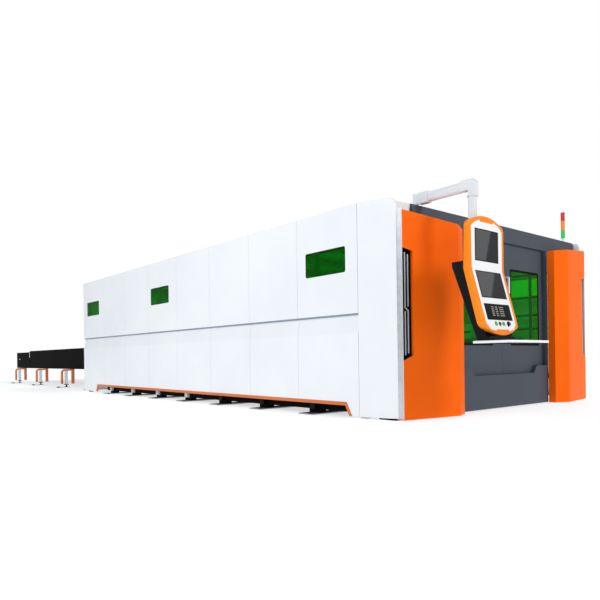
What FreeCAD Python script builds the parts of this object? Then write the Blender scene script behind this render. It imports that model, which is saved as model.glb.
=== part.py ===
import FreeCAD, Part

# Enclosed sheet-metal laser cutting machine with a two-level pallet exchange table.
# Millimetres. +X runs from the exchange table towards the operator's console, +Y across
# the machine, +Z up. Solids are drawn with X = 0 at the seam between the first side panel
# and the front corner cover and Y = 0 on the centreline; place_in_frame() then moves them so
# that the origin is at the bottom centre of the whole machine.

import math
import os

os.makedirs("parts", exist_ok=True)
Vector = FreeCAD.Vector

# ---- driving dimensions ------------------------------------------------------------------
SHEET = 3.0                  # folded cover sheet
CONTACT_GAP = 0.3            # air between pieces that move past each other
RUNNING_GAP = 0.05           # radial clearance of a shaft or stem in its bore
GUIDE_GAP = 0.5              # air round a linear guide rail inside its block
SEAM = 4.0                   # open seam between neighbouring covers
BEYOND = 20.0                # how far a cutting shape reaches past what it cuts

HALF_WIDTH = 2273.0          # centreline to the outside of a side wall
ROOF_TOP = 2400.0
WALL_FOOT = 20.0             # underside of the wall covers
PANEL_PITCH = 1050.0
PANEL_COUNT = 8
PANEL_DEPTH = 70.0           # depth of a folded side panel
REAR_FACE = -8560.0
REAR_DEPTH = 40.0            # depth of the folded rear trays
REAR_OPENING = (1460.0, 400.0, 1150.0)   # half width, sill and header of the pallet opening
GROOVE_TOP = 1178.0          # shadow groove along both side walls
GROOVE_BOTTOM = 957.0
GROOVE_DEPTH = 40.0

WINDOWS = ((-886.0, -192.0), (-5163.0, -4482.0), (-8320.0, -7640.0))
WINDOW_LOW = 1657.0
WINDOW_HIGH = 1954.0
WINDOW_CORNER = 25.0
PANE = 6.0
PANE_LAP = 18.0              # pane hidden behind the sheet all round

CUT_OUT = ((-7858.0, 20.0), (-7782.0, 177.0), (-196.0, 177.0), (-110.0, 20.0))
CUT_OUT_DROP = 60.0          # how far the opening's slanted ends run on below its corners
TRIM_WIDTH = 41.0
TRIM_DEPTH = 25.0
TRIM_PROUD = 3.0

STATION_FIRST = -830.0       # first pair of frame posts and floor plates
STATION_PITCH = 1050.0
STATION_COUNT = 7
TUBE = 80.0                  # square tube of the enclosure frame
BEAM_TOP = 2360.0            # top of the roof beams, under the roof panels
LINTEL_LIFT = 20.0           # doorway beams above the leaves and below them
THRESHOLD_DROP = 85.0
PLATE_THICK = 12.0
PLATE_WIDTH = 250.0
PLATE_LENGTH = 690.0
PLATE_PROUD_OF_WALL = 87.0   # floor plate's outer end beyond the wall's face
SILL_LOW = 60.0
SILL_HIGH = 250.0
SILL_WIDTH = 100.0
SILL_FRONT = -250.0
SILL_REAR = -7400.0
PACKER_HALF = 100.0
BLOCK_HALF = 45.0
BLOCK_DEPTH = 40.0
CORNER_PADS = ((-8310.0, -8190.0, -2268.0, -2208.0), (195.0, 430.0, -2160.0, -2070.0))

COVER_TAPER = ((4.0, 2273.0), (450.0, 2144.0), (521.0, 2129.0))   # side, fold, tip of the bevel
BEVEL_TOP = (2262.0, 2275.0)         # height of the bevel at its tip and at the fold
COVER_FRONT = 340.0          # front face of the white cover behind the doors
COVER_INNER = 1778.0
COVER_ROUND = 95.0           # top front corner, seen from the side

PILLAR_OUTER = 2129.0        # meets the white cover's bevel
PILLAR_RIDGE = 1314.0
PILLAR_INNER = 1096.0
PILLAR_X = (525.0, 660.0, 565.0)     # outer edge, ridge, inner edge
PILLAR_BACK = (432.0, 466.0)         # rear edge of the outer and of the inner side
PILLAR_FOOT = 8.0
PILLAR_TOP = (2248.0, 2152.0)        # outer and inner edge
VENT_OUTLINE = ((2150.0, 633.0), (1990.0, 702.0), (1990.0, 1814.0), (2150.0, 1850.0))
VENT_RECESS = 30.0
VENT_LIP = 6.0
STRIP_WIDTH = 11.0
STRIP_HEIGHT = 7.0
STRIP_Y = (-2077.0, -2036.0)         # outer and inner row
STRIP_JOG = (1211.0, 1181.0)         # where the long strip starts and ends its side step
STRIP_ENDS = ((1800.0, 719.0), (1780.0, 1221.0), (1169.0, 699.0))

FASCIA_TOP_X = 355.0
FASCIA_LOW_X = 427.0
FASCIA_LOW = 2162.0
FASCIA_FLANGE_X = 407.0
FASCIA_NEAR = 1768.0
FASCIA_FAR = ((2066.0, 2400.0), (2108.0, 2391.0), (2120.0, 2376.0), (1975.0, 2162.0))
FASCIA_END_LOW = 2235.0      # foot of the closing plate inside each end
FASCIA_END_Y = 1955.0

SKIRT_FACE = 460.0
SKIRT_BACK = 405.0
SKIRT_FOOT = 12.0
SKIRT_EDGE = ((-1092.0, 535.0), (-826.0, 535.0), (-716.0, 435.0), (701.0, 435.0),
              (783.0, 535.0), (1092.0, 535.0))
JAMB_X = (404.0, 460.0)      # folded channel between the skirt and the fascia beside each pillar
JAMB_Y = (-1091.0, -1060.0)

DOOR_FACE = 400.0
DOOR_BACK = 360.0
DOOR_WIDTH = 1100.0
DOOR_LOW = 420.0
DOOR_HIGH = 2160.0
DOOR_MEET = 1.5              # half of the gap between the closed leaves
DOOR_WINDOW = (210.0, 960.0, 815.0, 1830.0)
TONGUE = (372.0, 388.0)
TONGUE_LENGTH = 45.0
TONGUE_FOOT = 20.0
TRACK_SLOT = (370.0, 390.0)
TRACK_HALF = 2088.0
TRACK_RISE = (20.0, 65.0)    # underside and top of the track above the leaves
TRACK_CHEEK = 395.0
TRACK_ROOF = 10.0
TRACK_LIP = 15.0
GUIDE_DROP = (80.0, 5.0)     # underside and top of the guide below the leaves' feet
GUIDE_GROOVE = 20.0
HANDLE_Y = 110.0
HANDLE_LOW = 1489.0
HANDLE_HIGH = 1719.0
HANDLE_REACH = 50.0
HANDLE_WIDTH = 24.0
HANDLE_BAR = 18.0

BED_INNER = 1450.0
BED_OUTER = 1800.0
BED_LOW = 250.0
BED_HIGH = 950.0
BED_FRONT = -300.0
BED_REAR = -8400.0
BED_WALL = 16.0
BED_LEG = (1795.0, 1665.0)
BED_LEG_HALF = 70.0
BED_CROSS = (60.0, 120.0)    # half width and height of the cross beams
RAIL_Y = 1620.0
RAIL_WIDTH = 35.0
RAIL_HEIGHT = 30.0
RAIL_ENDS = (150.0, 100.0)   # rail ends inside the rear and front of the bed
RACK_Y = 1560.0
RACK_WIDTH = 28.0

GANTRY_REAR = -1050.0        # rear face of the beam in its parked place
GANTRY_SIZE = 300.0
GANTRY_WALL = 12.0
GANTRY_LOW = 1200.0
GANTRY_HALF = 1700.0
END_PROUD = 60.0             # end carriages beyond the beam's faces
END_INNER = 1535.0
END_LIFT = 6.0               # end carriage above the bed
RACK_ROOM = (5.0, 20.0, 8.0)
CROSS_RAIL_Z = (1260.0, 1440.0)
CROSS_RAIL_SIZE = 25.0
CROSS_RAIL_INSET = 60.0
CARRIAGE_HALF = 180.0
CARRIAGE_Z = (1180.0, 1680.0)
CARRIAGE_PLATE = 20.0
CARRIAGE_GAP = 12.0          # plate behind the rails
BEARING_SIZE = (160.0, 35.0, 6.0)    # half length, half height, gap to the beam
RIB_Y = 110.0
RIB_HALF = 14.0
RIB_DEPTH = 40.0
SLIDE_HALF = 95.0
SLIDE_DEPTH = 50.0
SLIDE_Z = (1240.0, 1620.0)
BRACKET_HALF = 70.0
BRACKET_X = -1265.0
BRACKET_Z = (1260.0, 1530.0)
NOZZLE_TIP = 1100.0
HEAD_X = -1215.0
HEAD_R = 35.0
HEAD_STEPS = ((2.0, 0.0), (14.0, 22.0), (HEAD_R, 62.0), (HEAD_R, 452.0), (20.0, 462.0), (20.0, 580.0))

TRACK_INNER = 1360.0
TRACK_THICK = 15.0
TRACK_REAR = -15600.0
TRACK_FRONT = -1200.0
UPPER_TRACK = 800.0
LOWER_TRACK = 600.0
ROLLER_R = 25.0
ROLLER_SIDES = 16
ROLLER_LENGTH = 60.0
ROLLER_COUNT = 4
ROLLER_INSET = 250.0
PALLET_HALF = 1335.0
PALLET_LENGTH = 6350.0
PALLET_OUTSIDE = -12000.0
PALLET_INSIDE = -4700.0
PALLET_FRAME = 80.0
PALLET_CROSS = 6
PALLET_LIFT = -10.0          # frame underside relative to the top of its track
SLAT_PITCH = 85.0
SLAT_THICK = 4.0
SLAT_HEIGHT = 90.0
SLAT_INSET = (60.0, 20.0)    # ends of the row and of each slat inside the pallet's outline

TABLE_OUTER = 1773.0
TABLE_LOW = 468.0
TABLE_TOP = 1000.0
TABLE_FRONT = -8575.0
TABLE_STEP = -14700.0
TABLE_STEP_GAP = 20.0
TABLE_STEP_INSET = 10.0
TABLE_END = -16200.0
TABLE_END_TOP = 965.0
TABLE_WALL = 8.0
CROSS_MEMBER = (50.0, 80.0)  # half width and height
END_MEMBER = (100.0, 900.0)  # length and top
SUPPORT_X = (-15300.0, -13080.0, -10870.0, -8900.0)
ARCH_Y = (-2050.0, -1720.0)
ARCH_HALF = 32.0
ARCH_FOOT = 90.0
ARCH_LEG = (42.0, 64.0)      # outer leg with the crown, inner leg
ARCH_ROUND = 95.0
POST_Y = -1921.0
POST_HALF = 32.0
POST_FOOT = 80.0
FOOT_HEAD = (42.0, 52.0, 66.0)       # half sizes and underside of the foot's head plate
FOOT_STEM = 17.0
FOOT_SHOE = (32.0, 22.0)     # half size and top of the shoe
BAR_HALF = 25.0
BAR_THICK = 10.0
BAR_Y = (-2090.0, -1840.0)
OUTBOARD_PAD = (45.0, -2155.0, 22.0)

SHAFT_X = -15750.0
SHAFT_Z = 720.0
SHAFT_R = 20.0
SHAFT_HALF = 1440.0
WHEEL_Y = 1200.0
WHEEL_R = 70.0
WHEEL_HALF = 12.0
BEARING_Y = 1380.0
BEARING_STAND = (70.0, 45.0, 20.0, 40.0)     # half foot, half head, half thickness, rise
MOTOR_X = -15930.0
MOTOR_HALF = 85.0
MOTOR_Y = (350.0, 480.0, 740.0)
MOTOR_TOP = 718.0
MOTOR_Z = 638.0
MOTOR_R = 75.0

ARM_X = 285.0                # swing axis of the console arm
ARM_Y = -1600.0
ARM_FOOT = (45.0, 8.0)       # half size and thickness of the flange on the roof
ARM_STUB = 2412.0            # where the turning post begins
ARM_POST_R = 31.0
ARM_POST_TOP = 2544.0
ARM_TUBE_Z = (2419.0, 2533.0)
ARM_TUBE_HALF = 33.0
ARM_ROUND = 32.0
ARM_SLEEVE = (350.0, 483.0, 40.0, 2414.0, 2539.0)
DROP_X = 1036.0
DROP_DIA = 90.0
DROP_RING = (56.0, 16.0)
ELBOW_X = (915.0, 1005.0, 1086.0)    # left end, left side of the neck, front
ELBOW_HALF = 36.0
ELBOW_LOW = 2371.0
ELBOW_UNDER = 2427.0
ELBOW_TOP = 2541.0
ELBOW_CHAMFER = 36.0

PENDANT_Y = -1610.0
PENDANT_FACE = 1200.0
PENDANT_BEND = 1568.0
PENDANT_TILT = 15.0
PENDANT_HALF = 330.0
PENDANT_TOP = 2114.0
PENDANT_LOW = 884.0
PENDANT_RISE = 62.0          # how far the arched ends stand beyond the straight sides
PENDANT_SHOULDER = 70.0
PENDANT_DEPTH = 62.0
PENDANT_THIN = 45.0          # depth at the top
FACE_THICK = 4.0
PLATE_PROUD = 1.0
FACE_OUTLINE = ((282.0, 1985.0), (210.0, 2035.0), (130.0, 2061.0), (112.0, 2045.0),
                     (-112.0, 2045.0), (-130.0, 2061.0), (-205.0, 2035.0), (-275.0, 1985.0),
                     (-260.0, 1003.0), (-205.0, 945.0), (-116.0, 931.0), (-104.0, 945.0),
                     (112.0, 945.0), (124.0, 931.0), (219.0, 946.0), (279.0, 1005.0))
SCREEN_THICK = 3.0
UPPER_SCREEN = (-212.0, 213.0, 1645.0, 1972.0)       # near and far edge, bottom and top
LOWER_SCREEN = (-223.0, 237.0, 1266.0, 1545.0)
KEYPAD = (-221.0, 238.0, 1040.0, 1205.0)
BUTTON_Y = {"start_button": -1699.0, "stop_button": -1630.0, "feed_button": -1563.0}
BUTTON_R = 19.0
BUTTON_Z = 1002.0
BUTTON_STEM = 28.0           # button below the face
BUTTON_PROUD = 10.0
KNOB_Y = -1474.0
KNOB_R = 27.0
KNOB_LOBES = (3, 0.14)       # number of lobes and their share of the radius
KNOB_SIDES = 24
KNOB_HEIGHT = 16.0
STEM_R = 10.0
STEM_DEPTH = 30.0
BORE_DEPTH = 40.0
BOX_HALF = 230.0
BOX_TOP = 1656.0
BOX_SPINE = ((930.0, 1656.0), (935.0, 1598.0), (1225.0, 830.0))
BOX_UNDER = 878.0            # top of the box where it reaches forward under the shell
BOX_REACH = 20.0
TRAY_Z = 805.0
TRAY_THICK = 25.0
TRAY_BACK = 1235.0
TRAY_FRONT = 1667.0
TRAY_SIDES = (-1950.0, -1189.0)
TRAY_BOW = 22.0
TRAY_ROUND = 30.0

LIGHT_X = 250.0
LIGHT_Y = 2030.0
LIGHT_FOOT = (40.0, 8.0)
LIGHT_POLE_R = 14.0
LIGHT_R = 31.0
LIGHT_CUP = 12.0
LIGHT_MODULE = 135.0
LIGHT_TOP = 2885.0

MIDDLE_X = (TABLE_END + TRAY_FRONT) / 2

# ---- helpers -----------------------------------------------------------------------------
def box(x0, x1, y0, y1, z0, z1):
    """Block between two corners."""
    return Part.makeBox(x1 - x0, y1 - y0, z1 - z0, Vector(x0, y0, z0))


def polygon(points):
    """Closed straight-sided wire through 3-D points."""
    corners = [Vector(*p) for p in points]
    return Part.makePolygon(corners + corners[:1])


def prism_x(outline, x0, x1):
    """(y, z) outline carried along X."""
    return Part.Face(polygon([(x0, y, z) for y, z in outline])).extrude(Vector(x1 - x0, 0, 0))


def prism_y(outline, y0, y1):
    """(x, z) outline carried along Y."""
    return Part.Face(polygon([(x, y0, z) for x, z in outline])).extrude(Vector(0, y1 - y0, 0))


def prism_z(outline, z0, z1):
    """(x, y) outline carried along Z."""
    return Part.Face(polygon([(x, y, z0) for x, y in outline])).extrude(Vector(0, 0, z1 - z0))


def inset(outline, distance):
    """The outline of (a, b) points moved inwards by distance, with sharp corners."""
    wire = polygon([(a, b, 0) for a, b in outline])
    smaller = wire.makeOffset2D(-distance, 2)
    return [(v.X, v.Y) for v in smaller.OrderedVertexes]


def open_box(x0, x1, y0, y1, z0, z1, wall, side):
    """Folded tray: a box of sheet with the named side ("-x", "+y", ...) left open."""
    low = [x0 + wall, y0 + wall, z0 + wall]
    high = [x1 - wall, y1 - wall, z1 - wall]
    axis = "xyz".index(side[1])
    if side[0] == "-":
        low[axis] -= 2 * wall
    else:
        high[axis] += 2 * wall
    return box(x0, x1, y0, y1, z0, z1).cut(box(low[0], high[0], low[1], high[1], low[2], high[2]))


def tube_x(x0, x1, y0, y1, z0, z1, wall):
    """Rectangular hollow section along X."""
    inner = box(x0 - 1, x1 + 1, y0 + wall, y1 - wall, z0 + wall, z1 - wall)
    return box(x0, x1, y0, y1, z0, z1).cut(inner)


def rod(centre, axis, radius, length):
    """Cylinder from a point along an axis."""
    return Part.makeCylinder(radius, length, Vector(*centre), Vector(*axis))


def rounded_plate_x(x0, x1, y0, y1, z0, z1, radius):
    """Plate square to X with four rounded corners."""
    plate = box(x0, x1, y0, y1, z0, z1)
    corners = [e for e in plate.Edges if abs(e.tangentAt(e.FirstParameter).x) > 0.99]
    return plate.makeFillet(radius, corners)


def rounded_plate_y(x0, x1, y0, y1, z0, z1, radius):
    """Plate square to Y with four rounded corners."""
    plate = box(x0, x1, y0, y1, z0, z1)
    corners = [e for e in plate.Edges if abs(e.tangentAt(e.FirstParameter).y) > 0.99]
    return plate.makeFillet(radius, corners)


def mirrored(solid):
    """The same piece on the far side of the centreline."""
    return solid.mirror(Vector(0, 0, 0), Vector(0, 1, 0))


def both_sides(solids):
    """Near-side solids and their mirror images."""
    return solids + [mirrored(s) for s in solids]


def place_in_frame(shape):
    """Move from the drawing's X to the machine's own frame."""
    moved = shape.copy()
    moved.translate(Vector(-MIDDLE_X, 0, 0))
    return moved


def save(node, solids):
    """Write one sub-part, made of one solid or of several alike, as a STEP file."""
    shape = solids if isinstance(solids, Part.Shape) else Part.makeCompound(solids)
    place_in_frame(shape).exportStep("parts/" + node + ".step")


def stations():
    """X of each pair of frame posts between the front and rear ends."""
    return [STATION_FIRST - STATION_PITCH * k for k in range(STATION_COUNT)]

# ---- enclosure covers --------------------------------------------------------------------
def wall_outline():
    """(y, z) outline of the near side wall's folded panel."""
    outer = -HALF_WIDTH
    return [(outer, ROOF_TOP), (outer, GROOVE_TOP), (outer + GROOVE_DEPTH, GROOVE_TOP),
            (outer, GROOVE_BOTTOM), (outer, WALL_FOOT), (outer + PANEL_DEPTH, WALL_FOOT),
            (outer + PANEL_DEPTH, ROOF_TOP)]


def side_panel(x0, x1):
    """One folded panel of the near wall, open at the back."""
    outer = prism_x(wall_outline(), x0, x1)
    inner = prism_x(inset(wall_outline(), SHEET), x0 + SHEET, x1 - SHEET)
    back = box(x0 + SHEET, x1 - SHEET, -HALF_WIDTH + PANEL_DEPTH - 2 * SHEET,
               -HALF_WIDTH + PANEL_DEPTH + 1, WALL_FOOT + SHEET, ROOF_TOP - SHEET)
    return outer.cut(inner).cut(back)


def cut_out_line():
    """(x, z) corners of the low opening, with its slanted ends run on below the floor."""
    (x0, z0), (x1, z1), (x2, z2), (x3, z3) = CUT_OUT
    rear = (x1 - x0) / (z1 - z0) * CUT_OUT_DROP
    front = (x3 - x2) / (z2 - z3) * CUT_OUT_DROP
    return [(x0 - rear, z0 - CUT_OUT_DROP), (x1, z1), (x2, z2), (x3 + front, z3 - CUT_OUT_DROP)]


def window_opening(x0, x1):
    """Rounded hole in the near wall's sheet for one window."""
    return rounded_plate_y(x0, x1, -HALF_WIDTH - 1, -HALF_WIDTH + SHEET + 1,
                           WINDOW_LOW, WINDOW_HIGH, WINDOW_CORNER)


def near_side_panels():
    """Eight wall panels and the narrow rear corner panel."""
    edges = [-PANEL_PITCH * k for k in range(PANEL_COUNT + 1)] + [REAR_FACE]
    low = prism_y(cut_out_line(), -HALF_WIDTH - 1, -HALF_WIDTH + PANEL_DEPTH + 1)
    panels = []
    for front, rear in zip(edges, edges[1:]):
        panel = side_panel(rear + SEAM / 2, front - SEAM / 2).cut(low)
        for x0, x1 in WINDOWS:
            if rear < x0 < front:
                panel = panel.cut(window_opening(x0, x1))
        panels.append(panel)
    return panels


def window_panes():
    """Tinted panes behind the three openings of the near wall."""
    back = -HALF_WIDTH + SHEET
    return [box(x0 - PANE_LAP, x1 + PANE_LAP, back, back + PANE,
                WINDOW_LOW - PANE_LAP, WINDOW_HIGH + PANE_LAP) for x0, x1 in WINDOWS]


def near_trim():
    """Strip round the low opening: three mitred bars flush with its edge."""
    points = [Vector(x, 0, z) for x, z in cut_out_line()]
    across = []
    for a, b in zip(points, points[1:]):
        run = (b - a).normalize()
        across.append(Vector(run.z, 0, -run.x))
    inside = []
    for point, before, after in zip(points, across[:1] + across, across + across[-1:]):
        half = (before + after).normalize()
        inside.append(point + half * (TRIM_WIDTH / half.dot(after)))
    keep = box(REAR_FACE, 0, -HALF_WIDTH - TRIM_PROUD, -HALF_WIDTH + TRIM_DEPTH, WALL_FOOT, ROOF_TOP)
    bars = []
    for k in range(len(across)):
        corners = (points[k], points[k + 1], inside[k + 1], inside[k])
        bar = prism_y([(p.x, p.z) for p in corners], -HALF_WIDTH - TRIM_PROUD, -HALF_WIDTH + TRIM_DEPTH)
        bars.append(bar.common(keep))
    return bars


def behind_nose(depth):
    """Space behind the corner's silhouette, its bevel and round top, moved in by depth."""
    front = COVER_TAPER[1][0] - depth
    tip = COVER_TAPER[2][0] + BEYOND
    tip_top, fold_top = (z - depth for z in BEVEL_TOP)
    top = ROOF_TOP - depth
    radius = COVER_ROUND - depth
    middle = radius * (1 - math.sqrt(0.5))
    y = -HALF_WIDTH - BEYOND

    def at(x, z):
        return Vector(x, y, z)
    edges = [Part.LineSegment(at(-BEYOND, -BEYOND), at(tip, -BEYOND)),
             Part.LineSegment(at(tip, -BEYOND), at(tip, tip_top)),
             Part.LineSegment(at(tip, tip_top), at(front, fold_top)),
             Part.LineSegment(at(front, fold_top), at(front, top - radius)),
             Part.Arc(at(front, top - radius), at(front - middle, top - middle), at(front - radius, top)),
             Part.LineSegment(at(front - radius, top), at(-BEYOND, top)),
             Part.LineSegment(at(-BEYOND, top), at(-BEYOND, -BEYOND))]
    return Part.Face(Part.Wire([e.toShape() for e in edges])).extrude(Vector(0, HALF_WIDTH, 0))


def front_corner_cover():
    """White near corner: tapered side, bevel, return and a face behind the door, with a top."""
    (x0, y0), (x1, y1), (x2, y2) = COVER_TAPER
    outline = [(x0, -y0), (x1, -y1), (x2, -y2), (COVER_FRONT, -y2),
               (COVER_FRONT, -COVER_INNER), (x0, -COVER_INNER)]
    outer = prism_z(outline, WALL_FOOT, ROOF_TOP).common(behind_nose(0))
    inner = prism_z(inset(outline, SHEET), WALL_FOOT - 1, ROOF_TOP - SHEET).common(behind_nose(SHEET))
    back = box(x0 - 1, x0 + 2 * SHEET, -y0 + 2 * SHEET, -COVER_INNER - SHEET,
               WALL_FOOT - 1, BEAM_TOP + SEAM)
    side = box(x0 - 1, COVER_FRONT - SHEET, -COVER_INNER - 2 * SHEET, -COVER_INNER + 1,
               WALL_FOOT - 1, ROOF_TOP - SHEET)
    return outer.cut(inner).cut(back).cut(side)


def rear_wall():
    """Rear trays round the opening that the pallets pass through."""
    inner = HALF_WIDTH - PANEL_DEPTH
    x0 = REAR_FACE
    x1 = REAR_FACE + REAR_DEPTH
    half, sill_top, header_low = REAR_OPENING
    gap = SEAM / 2
    near = open_box(x0, x1, -inner, -half - gap, WALL_FOOT, ROOF_TOP, SHEET, "+x")
    far = open_box(x0, x1, half + gap, inner, WALL_FOOT, ROOF_TOP, SHEET, "+x")
    header = open_box(x0, x1, -half + gap, half - gap, header_low, ROOF_TOP, SHEET, "+x")
    sill = open_box(x0, x1, -half + gap, half - gap, WALL_FOOT, sill_top, SHEET, "+x")
    return [near, far, header, sill]


def roof_panels():
    """Shallow roof trays in two rows, with seams over the roof beams."""
    seams = [COVER_FRONT, 0] + stations() + [REAR_FACE + REAR_DEPTH + SEAM]
    panels = []
    for front, rear in zip(seams, seams[1:]):
        half = COVER_INNER - SEAM if front > 0 else HALF_WIDTH - PANEL_DEPTH
        x0, x1 = rear + SEAM / 2, front - SEAM / 2
        panels.append(open_box(x0, x1, -half, -SEAM / 2, BEAM_TOP, ROOF_TOP, SHEET, "-z"))
        panels.append(open_box(x0, x1, SEAM / 2, half, BEAM_TOP, ROOF_TOP, SHEET, "-z"))
    return panels


def fascia_inside_x(z):
    """X of the inner surface of the sloping fascia at height z."""
    slope = (FASCIA_LOW_X - FASCIA_TOP_X) / (ROOF_TOP - FASCIA_LOW)
    return FASCIA_TOP_X + (ROOF_TOP - z) * slope - SHEET


def front_fascia():
    """Sloping band over the doors, one folded sheet closed at both ends."""
    back = COVER_FRONT + 1
    under_top = ROOF_TOP - SHEET
    over_flange = FASCIA_LOW + SHEET
    far = FASCIA_FAR[2][0]
    profile = [(back, ROOF_TOP), (FASCIA_TOP_X, ROOF_TOP), (FASCIA_LOW_X, FASCIA_LOW),
               (FASCIA_FLANGE_X, FASCIA_LOW), (FASCIA_FLANGE_X, over_flange),
               (fascia_inside_x(over_flange), over_flange), (fascia_inside_x(under_top), under_top),
               (back, under_top)]
    band = prism_y(profile, -FASCIA_NEAR, far)
    beyond_end = prism_x(list(FASCIA_FAR) + [(far + 1, FASCIA_LOW), (far + 1, ROOF_TOP)],
                         COVER_FRONT, FASCIA_LOW_X + 1)
    closing = [(back, under_top), (fascia_inside_x(under_top), under_top),
               (fascia_inside_x(FASCIA_END_LOW), FASCIA_END_LOW), (back, FASCIA_END_LOW)]
    band = band.cut(beyond_end)
    for y in (-FASCIA_NEAR, FASCIA_END_Y):
        band = band.fuse(prism_y(closing, y, y + SHEET))
    return band.removeSplitter()


# ---- orange front pillars ----------------------------------------------------------------
def pillar_face_x(y):
    """X of the near pillar's broad face at a given Y between its outer edge and its ridge."""
    share = (y + PILLAR_OUTER) / (PILLAR_OUTER - PILLAR_RIDGE)
    return PILLAR_X[0] + share * (PILLAR_X[1] - PILLAR_X[0])


def above_pillar(drop):
    """Everything above the pillar's sloping top, lowered by drop."""
    slope = (PILLAR_TOP[0] - PILLAR_TOP[1]) / (PILLAR_OUTER - PILLAR_INNER)
    outer = PILLAR_TOP[0] - drop + slope * BEYOND
    inner = PILLAR_TOP[1] - drop - slope * BEYOND
    return prism_x([(-PILLAR_OUTER - BEYOND, outer), (-PILLAR_INNER + BEYOND, inner),
                    (-PILLAR_INNER + BEYOND, ROOF_TOP), (-PILLAR_OUTER - BEYOND, ROOF_TOP)],
                   0, PILLAR_X[1] + BEYOND)


def vent_prism(grow):
    """The slanted vent outline of the near pillar, carried through it along X."""
    (y0, z0), (y1, z1), (_, z2), (_, z3) = VENT_OUTLINE
    outline = [(-y0, z0 - grow), (-y1 + grow, z1 - grow), (-y1 + grow, z2 + grow), (-y0, z3 + grow)]
    return prism_x(outline, PILLAR_BACK[0] - BEYOND, PILLAR_X[1] + BEYOND)


def pillar_outline(behind):
    """(x, y) outline of the near pillar, closed by a line at a distance behind its rear edges."""
    outer_back, inner_back = (x - behind for x in PILLAR_BACK)
    return [(outer_back, -PILLAR_OUTER), (PILLAR_X[0], -PILLAR_OUTER), (PILLAR_X[1], -PILLAR_RIDGE),
            (PILLAR_X[2], -PILLAR_INNER), (inner_back, -PILLAR_INNER)]


def pillar_cover():
    """Near pillar: one folded sheet with a sloping top, open behind, with the vent cut out."""
    outer = prism_z(pillar_outline(0), PILLAR_FOOT, ROOF_TOP).cut(above_pillar(0))
    inner = prism_z(inset(pillar_outline(BEYOND), SHEET), PILLAR_FOOT - 1, ROOF_TOP)
    inner = inner.cut(above_pillar(SHEET))
    return outer.cut(inner).cut(vent_prism(0)).fuse(vent_return()).removeSplitter()


def sloped_slab(front, back, y0, y1):
    """Slab parallel to the pillar's broad face, between two depths behind it."""
    return prism_z([(pillar_face_x(y0) - front, y0), (pillar_face_x(y1) - front, y1),
                    (pillar_face_x(y1) - back, y1), (pillar_face_x(y0) - back, y0)],
                   WALL_FOOT, ROOF_TOP)


def vent_return():
    """Lip of the pillar's sheet, folded in along the vent's inner edge."""
    edge = -VENT_OUTLINE[1][0]
    return sloped_slab(0, VENT_RECESS + VENT_LIP, edge, edge + SHEET).common(vent_prism(VENT_LIP))


def vent_insert():
    """Black tray behind the near pillar's vent cut-out, against the folded lip."""
    outer = -PILLAR_OUTER + SHEET
    inner = -VENT_OUTLINE[1][0]
    lean = (PILLAR_X[1] - PILLAR_X[0]) / (PILLAR_OUTER - PILLAR_RIDGE)
    behind = SHEET * math.hypot(1, lean)
    block = sloped_slab(behind, VENT_RECESS + VENT_LIP, outer, inner).common(vent_prism(VENT_LIP))
    pocket = sloped_slab(-SHEET, VENT_RECESS, outer - VENT_LIP, inner + VENT_LIP).common(vent_prism(0))
    return block.cut(pocket)


def long_strip_outline():
    """(y, z) outline of the strip that steps sideways half-way down."""
    half = STRIP_WIDTH / 2
    (y_top, y_low), (jog_top, jog_low) = STRIP_Y, STRIP_JOG
    top, low = STRIP_ENDS[0]
    return [(y_top - half, top), (y_top + half, top), (y_top + half, jog_top), (y_low + half, jog_low),
            (y_low + half, low), (y_low - half, low), (y_low - half, jog_low - half),
            (y_top - half, jog_top - half)]


def vent_strips():
    """One long stepped light strip and two short straight ones on the near vent tray."""
    half = STRIP_WIDTH / 2
    base = sloped_slab(VENT_RECESS - STRIP_HEIGHT, VENT_RECESS, -PILLAR_OUTER + SHEET,
                       -VENT_OUTLINE[1][0])
    outlines = [long_strip_outline()]
    for y, (top, low) in zip(reversed(STRIP_Y), STRIP_ENDS[1:]):
        outlines.append([(y - half, low), (y + half, low), (y + half, top), (y - half, top)])
    return [base.common(prism_x(outline, PILLAR_BACK[0], PILLAR_X[1])) for outline in outlines]


def front_skirt():
    """Low front cover with a stepped top edge, open behind."""
    outline = [(SKIRT_EDGE[0][0], SKIRT_FOOT)] + list(SKIRT_EDGE) + [(SKIRT_EDGE[-1][0], SKIRT_FOOT)]
    inner = prism_x(inset(outline, SHEET), SKIRT_BACK - 1, SKIRT_FACE - SHEET)
    return prism_x(outline, SKIRT_BACK, SKIRT_FACE).cut(inner)


def door_jamb():
    """Near folded channel that stands on the skirt and closes the gap beside the pillar."""
    return open_box(*JAMB_X, *JAMB_Y, SKIRT_EDGE[0][1], FASCIA_LOW, SHEET, "-x")


# ---- frame of the enclosure --------------------------------------------------------------
def enclosure_frame():
    """Square tubes: posts, roof beams and the two beams across the doorway."""
    inner = HALF_WIDTH - PANEL_DEPTH
    beam_low = BEAM_TOP - TUBE
    half = TUBE / 2
    posts = [box(x - half, x + half, -inner, -inner + TUBE, SILL_HIGH, beam_low) for x in stations()]
    ends = [0, REAR_FACE + REAR_DEPTH + half]
    posts += [box(x - half, x + half, -inner, -inner + TUBE, 0, beam_low) for x in ends]
    front = COVER_FRONT - SHEET
    jamb = -COVER_INNER + SHEET
    posts.append(box(front - TUBE, front, jamb - TUBE, jamb, 0, beam_low))
    solids = both_sides(posts)
    for x in stations() + ends:
        solids.append(box(x - half, x + half, -inner, inner, beam_low, BEAM_TOP))
    reach = PILLAR_OUTER - 2 * SHEET
    solids.append(box(front - TUBE, front, -reach, reach, beam_low, BEAM_TOP))
    for z in (DOOR_HIGH + LINTEL_LIFT, DOOR_LOW - THRESHOLD_DROP):
        solids.append(box(COVER_FRONT - TUBE, COVER_FRONT, jamb, -jamb, z, z + TUBE))
    return solids


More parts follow.
